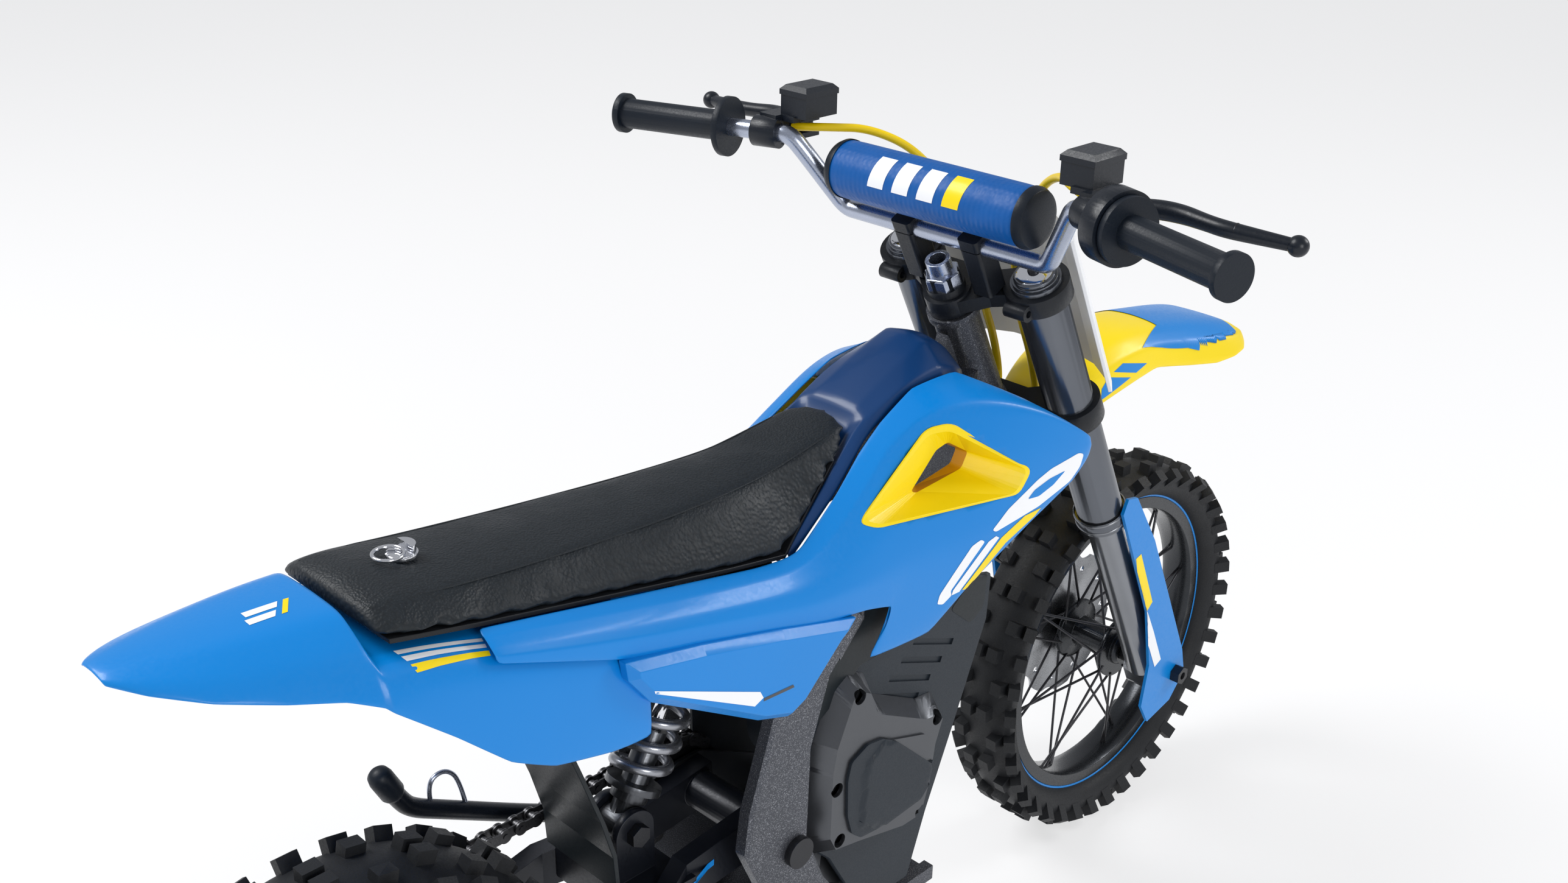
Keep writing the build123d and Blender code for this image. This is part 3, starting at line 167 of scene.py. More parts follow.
def leather(name, colour):
    """Grained seat cover: fine pebbles on top and coarser ones down the sides."""
    made, tree, surface, coords = new_material(name)
    geometry = tree.nodes.new("ShaderNodeNewGeometry")
    split = tree.nodes.new("ShaderNodeSeparateXYZ")
    wire(tree, geometry.outputs["Normal"], split.inputs["Vector"])
    upward = spread(tree, split.outputs["Z"], 0.0, 1.0, 0.55, 0.9)
    fine = cells(tree, coords, 1500.0)
    coarse = cells(tree, coords, 850.0)
    height = tree.nodes.new("ShaderNodeMix")
    wire(tree, upward, height.inputs["Factor"])
    wire(tree, coarse, height.inputs[2])
    wire(tree, fine, height.inputs[3])
    creases = noise(tree, coords, 260.0)
    wire(tree, bump(tree, height.outputs[0], 0.00022, under=bump(tree, creases, 0.0001)), surface.inputs["Normal"])
    dark = tuple(c * 0.6 for c in colour)
    wire(tree, blend_colour(tree, spread(tree, height.outputs[0], 1.0, 0.0, 0.15, 0.6), dark, colour),
         surface.inputs["Base Color"])
    wire(tree, spread(tree, noise(tree, coords, 90.0), 0.42, 0.56), surface.inputs["Roughness"])
    surface.inputs["Specular IOR Level"].default_value = 0.35
    return made


def woven(name, colour, scale=900.0):
    """Coated cloth with crossed threads."""
    made, tree, surface, coords = new_material(name)
    threads = []
    for direction in ("X", "Y"):
        wave = tree.nodes.new("ShaderNodeTexWave")
        wave.bands_direction = direction
        wave.inputs["Scale"].default_value = scale / 6.0
        wave.inputs["Distortion"].default_value = 0.6
        wire(tree, coords, wave.inputs["Vector"])
        threads.append(wave.outputs["Fac"])
    weave = tree.nodes.new("ShaderNodeMath")
    weave.operation = "MULTIPLY"
    wire(tree, threads[0], weave.inputs[0])
    wire(tree, threads[1], weave.inputs[1])
    wire(tree, bump(tree, weave.outputs[0], 0.00008, under=bump(tree, noise(tree, coords, 120.0), 0.0004)),
         surface.inputs["Normal"])
    dark = tuple(c * 0.75 for c in colour)
    wire(tree, blend_colour(tree, noise(tree, coords, 90.0), dark, colour), surface.inputs["Base Color"])
    wire(tree, spread(tree, noise(tree, coords, 300.0), 0.4, 0.55), surface.inputs["Roughness"])
    surface.inputs["Specular IOR Level"].default_value = 0.3
    return made


BLUE = material("shell_blue", (0.0, 0.215, 0.64), 0.36, coat=0.15, vary=0.04, patch=14.0, grain=900.0, depth=0.000003,
                specular=0.32)
NAVY = material("shell_navy", (0.004, 0.040, 0.145), 0.32, coat=0.15, vary=0.06, rough_vary=0.03, grain=1600.0,
                depth=0.000003, specular=0.3)
YELLOW = material("shell_yellow", (0.94, 0.70, 0.0), 0.38, coat=0.1, vary=0.04, patch=40.0, grain=1400.0,
                  depth=0.000004, specular=0.35)
WHITE = material("shell_white", (0.88, 0.89, 0.91), 0.38, coat=0.1, vary=0.02, grain=1400.0, depth=0.000004)
# Darker orange-yellow for the walls deep in the vent's hole: the yellow insert with painted shade
PAINTED_SHADE_YELLOW = material("painted_shade_yellow", (0.60, 0.27, 0.0), 0.4, vary=0.08, grain=1400.0, depth=0.000006)
GLOSS_BLACK = material("shell_black", (0.004, 0.008, 0.011), 0.36, vary=0.1, grain=1500.0, depth=0.000004,
                       specular=0.3)
TYRE = material("tyre_rubber", (0.010, 0.011, 0.013), 0.58, vary=0.3, patch=120.0, grain=1500.0, depth=0.00006,
                specular=0.3)
SLATE = material("guard_slate", (0.016, 0.022, 0.030), 0.5, vary=0.1, grain=2200.0, depth=0.00002, specular=0.3)
PLASTIC_BLACK = material("battery_black", (0.008, 0.009, 0.011), 0.45, vary=0.15, grain=1800.0, depth=0.00003,
                         specular=0.3)
RUBBER = material("grip_rubber", (0.005, 0.009, 0.016), 0.44, vary=0.12, grain=1700.0, depth=0.00003, specular=0.28)
LEVER = material("lever_black", (0.006, 0.009, 0.015), 0.34, vary=0.1, grain=1500.0, depth=0.00001, specular=0.35)
RIM = material("rim_black", (0.030, 0.033, 0.038), 0.28, metal=0.8, coat=0.2, grain=1500.0, depth=0.000008)
SPOKE = material("spoke_steel", (0.05, 0.05, 0.055), 0.35, metal=0.8, grain=2500.0, depth=0.00001)
DISC = material("disc_steel", (0.42, 0.43, 0.45), 0.3, metal=1.0, patch=200.0, grain=2500.0, depth=0.00002)
CHAIN = material("chain_steel", (0.09, 0.09, 0.095), 0.34, metal=0.9, vary=0.3, patch=300.0, grain=2000.0)
FORK = material("fork_grey", (0.13, 0.14, 0.16), 0.24, metal=0.85, coat=0.2, rough_vary=0.02, vary=0.05, grain=1800.0,
                depth=0.000003)
STANCHION = material("stanchion_steel", (0.24, 0.25, 0.27), 0.22, metal=0.9, rough_vary=0.03, grain=1800.0,
                     depth=0.000003)
CAST = material("cast_black", (0.008, 0.010, 0.014), 0.42, metal=0.15, vary=0.2, grain=1300.0, depth=0.00005,
                specular=0.35)
BOLT = material("bolt_black", (0.035, 0.036, 0.04), 0.34, metal=0.8, grain=2000.0, depth=0.00001)
SILVER = material("bar_silver", (0.42, 0.46, 0.56), 0.26, metal=0.95, patch=140.0, grain=2200.0, depth=0.000008)
GRAPHITE = material("motor_graphite", (0.105, 0.11, 0.12), 0.34, metal=0.9, vary=0.08, rough_vary=0.05, grain=1800.0,
                    depth=0.00001)
ARM = material("arm_black", (0.010, 0.012, 0.018), 0.36, metal=0.3, vary=0.1, grain=1600.0, depth=0.00001)
SPRING = material("spring_graphite", (0.34, 0.35, 0.38), 0.3, metal=0.9, rough_vary=0.04, grain=2200.0, depth=0.000006)
CHROME = material("rod_chrome", (0.75, 0.76, 0.79), 0.09, metal=1.0, vary=0.04, grain=2200.0, depth=0.000003)
CABLE = material("cable_yellow", (0.88, 0.62, 0.0), 0.35, vary=0.1, grain=1800.0, depth=0.00002)
GUNMETAL = speckled("frame_gunmetal", (0.085, 0.09, 0.105), (0.34, 0.35, 0.38), 0.42)
LEATHER = leather("seat_cover", (0.009, 0.014, 0.019))
PAD_BLUE = woven("pad_blue", (0.001, 0.105, 0.40))

SLOT_LOOKS = {
    "tyre_rubber": TYRE, "rim_black": RIM, "spoke_steel": SPOKE, "disc_steel": DISC, "chain_steel": CHAIN,
    "fork_grey": FORK, "stanchion_steel": STANCHION, "cast_black": CAST, "frame_gunmetal": GUNMETAL,
    "bolt_black": BOLT, "bar_silver": SILVER, "grip_rubber": RUBBER, "pad_blue": PAD_BLUE, "lever_black": LEVER,
    "cable_yellow": CABLE, "shell_blue": BLUE, "shell_navy": NAVY, "shell_yellow": YELLOW, "shell_black": GLOSS_BLACK,
    "guard_slate": SLATE, "plate_white": WHITE, "motor_graphite": GRAPHITE, "arm_black": ARM,
    "spring_graphite": SPRING, "rod_chrome": CHROME, "seat_cover": LEATHER, "latch_chrome": CHROME,
    "battery_black": PLASTIC_BLACK,
}
EDGE_WIDTH = {"bolt_black": 0.15, "disc_steel": 0.12, "chain_steel": 0.1, "tyre_rubber": 0.4, "latch_chrome": 0.12}
UNBEVELLED = {"spokes_front", "spokes_rear", "shock_spring", "chain", "gyro_flywheel", "gyro_housing", "battery_pack"}


def dress_cad():
    """Gives every CAD node its material, and softens its edges so that they catch the light."""
    for entry in frame["record"]["subparts"]:
        node = NODES[entry["node"]]
        node.data.materials.clear()
        node.data.materials.append(SLOT_LOOKS[entry["material_slot"]])
        if entry["node"] in UNBEVELLED:
            continue
        weld = node.modifiers.new("weld", "WELD")
        weld.merge_threshold = 0.000002
        edge = node.modifiers.new("edge", "BEVEL")
        edge.width = EDGE_WIDTH.get(entry["material_slot"], 0.3) * MM
        edge.segments = 2
        edge.limit_method = "ANGLE"
        edge.angle_limit = radians(38.0)
        edge.harden_normals = True
        edge.use_clamp_overlap = True


dress_cad()


# ---------------------------------------------------------------- shape helpers

def add_object(name, points, faces, look, body):
    """Mesh object from points in millimetres."""
    mesh = bpy.data.meshes.new(name)
    mesh.from_pydata([Vector(p) * MM for p in points], [], faces)
    mesh.update()
    made = bpy.data.objects.new(name, mesh)
    bpy.context.scene.collection.objects.link(made)
    made.data.materials.append(look)
    finish_piece(made, body)
    return made


def finish_piece(made, body):
    """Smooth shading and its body."""
    made.data.shade_smooth()
    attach(made, body)


def bake(made):
    """Applies the modifiers."""
    evaluated = made.evaluated_get(bpy.context.evaluated_depsgraph_get())
    mesh = bpy.data.meshes.new_from_object(evaluated)
    made.modifiers.clear()
    made.data = mesh
    return made


def turn_outwards(mesh, outwards):
    """Flips the faces if they look away from the given direction on the whole."""
    facing = sum((p.normal.dot(outwards) * p.area for p in mesh.polygons))
    if facing < 0:
        mesh.flip_normals()


def close_form(made, weld=False):
    """Turns a closed form's faces outwards; weld first merges the points that coincide."""
    work = bmesh.new()
    work.from_mesh(made.data)
    if weld:
        bmesh.ops.remove_doubles(work, verts=work.verts[:], dist=0.001 * MM)
    bmesh.ops.recalc_face_normals(work, faces=work.faces[:])
    work.to_mesh(made.data)
    work.free()


def sharpen(made, columns, lengthwise, across=None):
    """Sharpens edges of a grid: lengthwise maps a column to its sharpness, and across maps a row."""
    across = across or {}
    work = bmesh.new()
    work.from_mesh(made.data)
    layer = work.edges.layers.float.get("crease_edge") or work.edges.layers.float.new("crease_edge")
    for edge in work.edges:
        a, b = sorted(v.index for v in edge.verts)
        row, column = divmod(a, columns)
        if b - a == columns and column in lengthwise:
            edge[layer] = lengthwise[column]
        elif b - a == 1 and b // columns == row and row in across:
            edge[layer] = across[row]
    work.to_mesh(made.data)
    work.free()


SHELL_WALL = 1.5


def skin(name, sections, creases, outwards, look, body, cross_creases=None):
    """Smooth thin shell through cross sections, each (x, [(y, z), ...]).

    A third value moves a point to its own x.
    """
    columns = len(sections[0][1])
    points = [(*own, y, z) if own else (x, y, z) for x, profile in sections for y, z, *own in profile]
    faces = []
    for row in range(len(sections) - 1):
        for column in range(columns - 1):
            a = row * columns + column
            faces.append((a, a + 1, a + columns + 1, a + columns))
    made = add_object(name, points, faces, look, body)
    turn_outwards(made.data, Vector(outwards))
    sharpen(made, columns, creases, cross_creases)
    thick = made.modifiers.new("thickness", "SOLIDIFY")
    thick.thickness = SHELL_WALL * MM
    thick.offset = -1.0
    thick.use_even_offset = True
    thick.edge_crease_rim = 0.9
    thick.edge_crease_inner = 0.2
    smooth = made.modifiers.new("smooth", "SUBSURF")
    smooth.levels = 3
    smooth.render_levels = 3
    bake(made)
    made.data.shade_smooth()
    return made


def arched(sections):
    """Whole cross sections from half ones."""
    return [(x, [(-y, z) for y, z in half[:0:-1]] + half) for x, half in sections]


def mirrored(sections):
    """The same cross sections on the other side."""
    return [(x, [(-y, z, *own) for y, z, *own in profile]) for x, profile in sections]


def arch_creases(half_columns, creases):
    """Creases counted from the middle outwards, on both halves."""
    middle = half_columns - 1
    both = {}
    for column, sharpness in creases.items():
        both[middle + column] = sharpness
        both[middle - column] = sharpness
    return both


DECAL_REACH = 300.0
DECAL_RELIEF = 8.0


def decal(name, surface, outline, plane, look, body, slot, lift=0.1, step=2.5):
    """Painted patch: an outline in a plane (origin, u, v), laid onto a surface's tree.

    Points that miss it, or land further than DECAL_RELIEF from the usual depth, go to the nearest place instead.
    """
    origin, u_axis, v_axis = (Vector(part) for part in plane)
    normal = u_axis.cross(v_axis).normalized()
    work = bmesh.new()
    corners = [work.verts.new((u * MM, v * MM, 0.0)) for u, v in outline]
    work.faces.new(corners)
    bmesh.ops.triangulate(work, faces=work.faces[:])
    for _ in range(8):
        long_edges = [e for e in work.edges if e.calc_length() > step * MM]
        if not long_edges:
            break
        bmesh.ops.subdivide_edges(work, edges=long_edges, cuts=1)
        bmesh.ops.triangulate(work, faces=[f for f in work.faces if len(f.verts) > 3])
    above = origin * MM + normal * DECAL_REACH * MM
    starts = [above + u_axis * vert.co.x + v_axis * vert.co.y for vert in work.verts]
    depths = sorted(found for found in (surface.ray_cast(start, -normal)[3] for start in starts) if found)
    usual = depths[len(depths) // 2]
    for vert, start in zip(work.verts, starts):
        hit, facing, _, depth = surface.ray_cast(start, -normal)
        if hit is None or abs(depth - usual) > DECAL_RELIEF * MM:
            hit, facing, _, _ = surface.find_nearest(start - normal * usual)
        if facing.dot(normal) < 0:
            facing = -facing
        vert.co = hit + facing * lift * MM
    mesh = bpy.data.meshes.new(name)
    work.to_mesh(mesh)
    work.free()
    turn_outwards(mesh, normal)
    made = bpy.data.objects.new(name, mesh)
    bpy.context.scene.collection.objects.link(made)
    made.data.materials.append(look)
    finish_piece(made, body)
    return made


def tree_of(made):
    """Ray casting tree of an object's mesh, in the row frame."""
    work = bmesh.new()
    work.from_mesh(made.data)
    work.transform(made.matrix_world)
    tree = BVHTree.FromBMesh(work)
    work.free()
    return tree


RIGHT = ((0, 0, 0), (1, 0, 0), (0, 0, 1))
LEFT = ((0, 0, 0), (-1, 0, 0), (0, 0, 1))
TOP = ((0, 0, 0), (1, 0, 0), (0, 1, 0))


def side_decals(name, targets, outline, look, body, slot, **more):
    """The same patch on the right and left sides; targets are (left, right)."""
    decal(name + "_right", targets[1], outline, RIGHT, look, body, slot, **more)
    decal(name + "_left", targets[0], [(-x, z) for x, z in outline], LEFT, look, body, slot, **more)


def tube(name, route, radius, look, body, bevel_resolution=6, widths=None):
    """Round tube along a smooth route in millimetres; widths scale the radius at each point."""
    curve = bpy.data.curves.new(name, "CURVE")
    curve.dimensions = "3D"
    spline = curve.splines.new("NURBS")
    spline.points.add(len(route) - 1)
    for point, place in zip(spline.points, route):
        point.co = (*(Vector(place) * MM), 1.0)
    for point, width in zip(spline.points, widths or ()):
        point.radius = width
    spline.order_u = 3
    spline.use_endpoint_u = True
    spline.resolution_u = 12
    curve.bevel_depth = radius * MM
    curve.bevel_resolution = bevel_resolution
    curve.use_fill_caps = True
    made = bpy.data.objects.new(name, curve)
    bpy.context.scene.collection.objects.link(made)
    mesh = bpy.data.meshes.new_from_object(made.evaluated_get(bpy.context.evaluated_depsgraph_get()))
    bpy.data.objects.remove(made)
    solid = bpy.data.objects.new(name, mesh)
    bpy.context.scene.collection.objects.link(solid)
    solid.data.materials.clear()
    solid.data.materials.append(look)
    mesh.shade_smooth()
    if body is not None:
        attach(solid, body)
    return solid


def lathe(name, profile, centre, axis, look, body, segments=64):
    """Turned piece: profile of (radius, along) about an axis through centre, in millimetres."""
    axis = Vector(axis).normalized()
    side = axis.orthogonal().normalized()
    other = axis.cross(side)
    points = []
    for i in range(segments):
        angle = 2 * pi * i / segments
        out = side * cos(angle) + other * sin(angle)
        points += [Vector(centre) + out * r + axis * s for r, s in profile]
    faces = []
    count = len(profile)
    for i in range(segments):
        j = (i + 1) % segments
        for k in range(count - 1):
            faces.append((i * count + k, i * count + k + 1, j * count + k + 1, j * count + k))
    made = add_object(name, points, faces, look, body)
    close_form(made, weld=True)
    edge = made.modifiers.new("edge", "BEVEL")
    edge.width = 0.25 * MM
    edge.segments = 2
    edge.angle_limit = radians(35.0)
    edge.harden_normals = True
    return made


# ---------------------------------------------------------------- bodywork

REAR_FENDER = [
    (-241.0, [(0, 255.4), (2.5, 255.2), (5.0, 254.8), (6.5, 253.8)]),
    (-234.0, [(0, 256.0), (5.5, 255.5), (11.0, 253.8), (14.0, 251.2)]),
    (-222.0, [(0, 256.2), (9.4, 255.3), (17.0, 251.8), (22.0, 247.2)]),
    (-206.0, [(0, 256.2), (12.8, 255.0), (22.0, 249.4), (28.0, 242.4)]),
    (-192.0, [(0, 255.6), (14.4, 254.4), (25.0, 247.6), (31.0, 238.2)]),
    (-183.0, [(0, 254.6), (15, 253.8), (26.5, 246.0), (33.0, 233.0)]),
    (-181.0, [(0, 244.0), (15, 243.6), (29.5, 242.6), (34.0, 231.0)]),
    (-165.0, [(0, 241.5), (18, 241.0), (32.4, 240.4), (36.6, 217.0)]),
    (-150.0, [(0, 238.5), (20, 238.0), (35.6, 235.6), (38.4, 202.4)]),
    (-136.0, [(0, 236.0), (20, 235.5), (36.6, 230.8), (39.0, 194.6)]),
    (-116.0, [(0, 232.0), (20, 231.5), (37.2, 224.0), (38.8, 189.6)]),
    (-100.0, [(0, 229.0), (20, 228.5), (37.2, 220.4), (38.6, 187.5)]),
]
rear_fender = skin("tail_shell", arched(REAR_FENDER), arch_creases(4, {1: 0.35, 2: 0.25}), (0, 0, 1), BLUE, ROOT,
                   cross_creases={5: 0.8, 6: 0.8})
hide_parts("rear_fender")

TANK = [
    (-34.0, [(0, 214.4), (20.4, 214.4), (25.0, 219.0), (26.6, 216.4)]),
    (-8.0, [(0, 231.2), (14.0, 231.2), (19.0, 236.2), (23.0, 232.0)]),
    (9.0, [(0, 242.5), (10.0, 242.5), (14.0, 246.6), (18.4, 242.6)]),
    (13.5, [(0, 251.0), (9.4, 250.4), (15.0, 248.6), (17.8, 244.8)]),
    (31.0, [(0, 260.2), (9.0, 258.8), (15.8, 256.4), (17.4, 251.8)]),
    (48.5, [(0, 267.0), (8.5, 265.2), (16.6, 257.7), (18.2, 252.5)]),
    (57.0, [(0, 265.0), (8.0, 262.8), (15.7, 256.0), (17.2, 251.0)]),
    (65.5, [(0, 257.6), (7.0, 255.6), (13.2, 251.0), (14.2, 248.0)]),
]
tank_cover = skin("tank_shell", arched(TANK), arch_creases(4, {1: 0.55, 2: 0.85}), (0, 0, 1), NAVY, ROOT,
                  cross_creases={3: 0.5, 5: 0.7})
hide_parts("tank_cover")

SHROUD = [
    (-152.5, [(27.6, 242.2), (31.0, 240.9), (34.0, 238.8), (35.8, 236.8), (36.4, 234.6)]),
    (-116.0, [(28.4, 235.2), (32.5, 232.8), (36.0, 229.8), (38.2, 226.6), (38.4, 221.0)]),
    (-80.0, [(28.4, 228.2), (33.0, 225.4), (37.0, 221.8), (39.0, 217.8), (38.8, 207.0)]),
    (-50.0, [(28.4, 222.2), (33.2, 219.0), (37.4, 215.0), (39.2, 209.8), (39.0, 199.0)]),
    (-32.0, [(28.2, 219.8), (33.6, 217.0), (37.8, 211.6), (39.8, 206.0), (39.6, 198.5)]),
    (-10.0, [(24.4, 233.0), (30.6, 226.4), (35.8, 215.2), (39.4, 205.0), (39.6, 195.0)]),
    (4.0, [(20.4, 241.4), (28.0, 237.0), (34.4, 221.0), (39.2, 204.0), (39.4, 190.6, 6.0)]),
    (15.0, [(19.2, 248.4), (26.2, 244.6), (34.0, 226.5), (39.4, 203.6), (38.2, 173.4, -8.6)]),
    (31.0, [(18.6, 256.4), (28.4, 250.6), (35.2, 230.0), (40.4, 204.0), (38.6, 171.2, 24.0)]),
    (52.0, [(19.4, 257.6), (34.2, 250.0), (39.8, 229.0), (43.0, 205.0), (40.6, 184.2, 41.0)]),
    (75.0, [(33.2, 244.4), (42.2, 242.4), (45.0, 226.0), (45.0, 212.0), (43.6, 200.6, 72.0)]),
    (92.0, [(43.6, 232.0), (46.4, 230.8), (47.8, 223.0), (47.2, 216.0), (46.0, 210.8)]),
    (98.5, [(46.6, 226.6), (47.2, 226.0), (47.8, 223.5), (47.4, 221.0), (46.8, 219.0)]),
]
SHROUD_CREASES = {1: 0.92, 2: 0.25, 3: 0.45}
VENT_RIM = [(-7.0, 223.8), (27.5, 244.4), (36.5, 244.2), (67.4, 222.2), (61.6, 214.8), (0.0, 220.4)]
VENT_THROAT = [(27.0, 223.0), (36.0, 233.2), (41.6, 234.4), (50.2, 229.4), (47.4, 224.4), (29.0, 221.8)]


def prism(name, outline, y0, y1, look=BLUE):
    """Closed prism between two Y planes: a cutting tool or a panel."""
    count = len(outline)
    points = [(x, y0, z) for x, z in outline] + [(x, y1, z) for x, z in outline]
    faces = [tuple(range(count)), tuple(range(2 * count - 1, count - 1, -1))]
    faces += [(i, i + count, (i + 1) % count + count, (i + 1) % count) for i in range(count)]
    made = add_object(name, points, faces, look, ROOT)
    close_form(made)
    return made


def cut(made, tool):
    """Takes the tool out of the piece and deletes the tool."""
    boolean = made.modifiers.new("cut", "BOOLEAN")
    boolean.operation = "DIFFERENCE"
    boolean.object = tool
    boolean.solver = "EXACT"
    bake(made)
    bpy.data.objects.remove(tool)
    return made


def rounded(outline, radius, steps=4):
    """Outline with its corners rounded by short arcs."""
    result = []
    count = len(outline)
    for i in range(count):
        a, b, c = (Vector(outline[j % count]) for j in (i - 1, i, i + 1))
        reach = min(radius, (a - b).length / 2.2, (c - b).length / 2.2)
        start = b + (a - b).normalized() * reach
        end = b + (c - b).normalized() * reach
        for k in range(steps + 1):
            t = k / steps
            point = start * (1 - t) ** 2 + b * 2 * t * (1 - t) + end * t ** 2
            result.append((point.x, point.y))
    return result


UNCUT = {}


def shroud(name, sections, side):
    """Tank side panel with the opening for its vent."""
    made = skin(name, sections, SHROUD_CREASES, (0, side, 0), BLUE, ROOT)
    UNCUT[side] = tree_of(made)
    return cut(made, prism("tool", rounded(VENT_RIM, 3.0), 20.0 * side, 60.0 * side))


shroud_left = shroud("shroud_shell_left", SHROUD, 1)
shroud_right = shroud("shroud_shell_right", mirrored(SHROUD), -1)
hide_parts("shrouds")
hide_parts("shrouds")
SHROUDS = (tree_of(shroud_left), tree_of(shroud_right))

# The vent's lip as (out from the rim, up from the panel), then its floor round the hole and its back edge
VENT_LIP = [(1.2, -0.2), (0.9, 0.25), (-1.4, 0.1)]
VENT_LEDGE = 0.12
VENT_FLOOR = 27.6
VENT_BACK = 24.0


def vent(name, side):
    """Recessed insert: a lip on the panel, walls sloping in, and an angular hole to the inside."""
    outer = rounded(VENT_RIM, 3.0)
    cx = sum(x for x, z in outer) / len(outer)
    cz = sum(z for x, z in outer) / len(outer)
    throat = rounded(VENT_THROAT, 1.2)
    rings = [[] for _ in range(len(VENT_LIP) + 2)]
    for (x, z), (tx, tz) in zip(outer, throat):
        away = Vector((x - cx, z - cz)).normalized()
        face = UNCUT[side].ray_cast(Vector((x, side * 90.0, z)) * MM, Vector((0, -side, 0)))[0].y / MM * side
        for ring, (out, rise) in zip(rings, VENT_LIP):
            ring.append((x + away.x * out, side * (face + rise), z + away.y * out))
        rings[-2].append((tx + VENT_LEDGE * (x - tx), side * VENT_FLOOR, tz + VENT_LEDGE * (z - tz)))
        rings[-1].append((tx, side * VENT_BACK, tz))
    points = [p for ring in rings for p in ring]
    count = len(outer)
    faces = []
    for r in range(len(rings) - 1):
        for i in range(count):
            j = (i + 1) % count
            faces.append((r * count + i, r * count + j, (r + 1) * count + j, (r + 1) * count + i))
    made = add_object(name, points, faces, YELLOW, ROOT)
    turn_outwards(made.data, Vector((0, side, 0)))
    # The hole's walls take the darker yellow, as painted shade of the deep recess
    made.data.materials.append(PAINTED_SHADE_YELLOW)
    for polygon in made.data.polygons:
        polygon.use_smooth = False
        if polygon.index >= len(VENT_LIP) * count:
            polygon.material_index = 1
    thick = made.modifiers.new("thickness", "SOLIDIFY")
    thick.thickness = 0.6 * MM
    thick.offset = -1.0
    bake(made)
    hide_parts("vent_inserts")
    return made


vent("vent_left", 1)
vent("vent_right", -1)

FRONT_FENDER = [
    (114.0, [(0, 208.5), (8, 208.0), (14, 205.0), (15.5, 200.0)]),
    (125.0, [(0, 222.0), (10, 221.0), (16, 217.0), (18.0, 208.5)]),
    (140.0, [(0, 236.0), (11.5, 234.6), (18, 229.0), (20.6, 216.5)]),
    (160.0, [(0, 240.8), (12.5, 239.4), (19, 233.0), (21.2, 220.0)]),
    (180.0, [(0, 239.2), (13, 237.8), (19, 232.4), (21.2, 223.0)]),
    (200.0, [(0, 235.8), (13.5, 234.4), (20.5, 228.4), (23.8, 219.0)]),
    (218.0, [(0, 232.0), (14.5, 231.0), (22.5, 225.6), (26.4, 216.0)]),
    (230.0, [(0, 229.2), (15.0, 228.4), (23.4, 224.2), (27.6, 216.4)]),
    (238.5, [(0, 226.8), (15.0, 226.4), (23.0, 223.0), (26.6, 217.4)]),
    (243.0, [(0, 225.4), (14.0, 225.0), (21.0, 222.6), (23.4, 219.0)]),
    (244.6, [(0, 224.8), (12.5, 224.6), (18.6, 222.8), (20.4, 220.6)]),
]
front_fender = skin("front_fender_shell", arched(FRONT_FENDER), arch_creases(4, {1: 0.25, 2: 0.5}), (0, 0, 1), YELLOW,
                    HEAD)
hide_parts("front_fender")


# ---------------------------------------------------------------- seat and bar pad

SEAT = [
    (-180.4, [(0, 252.6), (15.5, 251.6), (22.6, 249.2), (23.4, 248.2)]),
    (-177.0, [(0, 256.0), (17.6, 254.0), (25.4, 249.6), (25.8, 247.4)]),
    (-164.0, [(0, 255.0), (18.4, 252.2), (26.6, 246.8), (27.0, 244.8)]),
    (-150.0, [(0, 252.9), (18.6, 249.7), (27.2, 243.6), (27.6, 242.0)]),
    (-120.0, [(0, 248.9), (18.2, 246.5), (27.8, 237.6), (28.0, 236.2)]),
    (-90.0, [(0, 246.3), (17.6, 244.1), (27.8, 231.6), (28.0, 230.2)]),
    (-60.0, [(0, 244.5), (16.3, 242.3), (27.8, 225.8), (28.0, 224.4)]),
    (-35.0, [(0, 243.9), (14.2, 241.7), (27.2, 221.6), (27.4, 220.0)]),
    (-24.0, [(0, 244.9), (13.2, 242.5), (23.6, 228.4), (23.8, 227.0)]),
    (-4.0, [(0, 248.4), (12.4, 246.0), (17.8, 240.4), (18.0, 239.4)]),
    (9.8, [(0, 251.2), (11.4, 249.2), (12.6, 248.0), (12.8, 247.4)]),
]


def seat_form():
    """Closed, crowned form of the seat's foam."""
    full = arched(SEAT)
    columns = len(full[0][1])
    rows = len(full)
    points = [(x, y, z) for x, profile in full for y, z in profile]
    faces = []
    for row in range(rows - 1):
        for column in range(columns - 1):
            a = row * columns + column
            faces.append((a, a + 1, a + columns + 1, a + columns))
        a = row * columns
        faces.append((a, a + columns, a + 2 * columns - 1, a + columns - 1))
    faces.append(tuple(range(columns)))
    faces.append(tuple(range((rows - 1) * columns, rows * columns)))
    made = add_object("seat_pad", points, faces, LEATHER, "seat")
    close_form(made)
    sharpen(made, columns, {0: 0.9, 1: 0.7, 2: 0.55, 4: 0.55, 5: 0.7, 6: 0.9})
    smooth = made.modifiers.new("smooth", "SUBSURF")
    smooth.levels = 3
    bake(made)
    return made


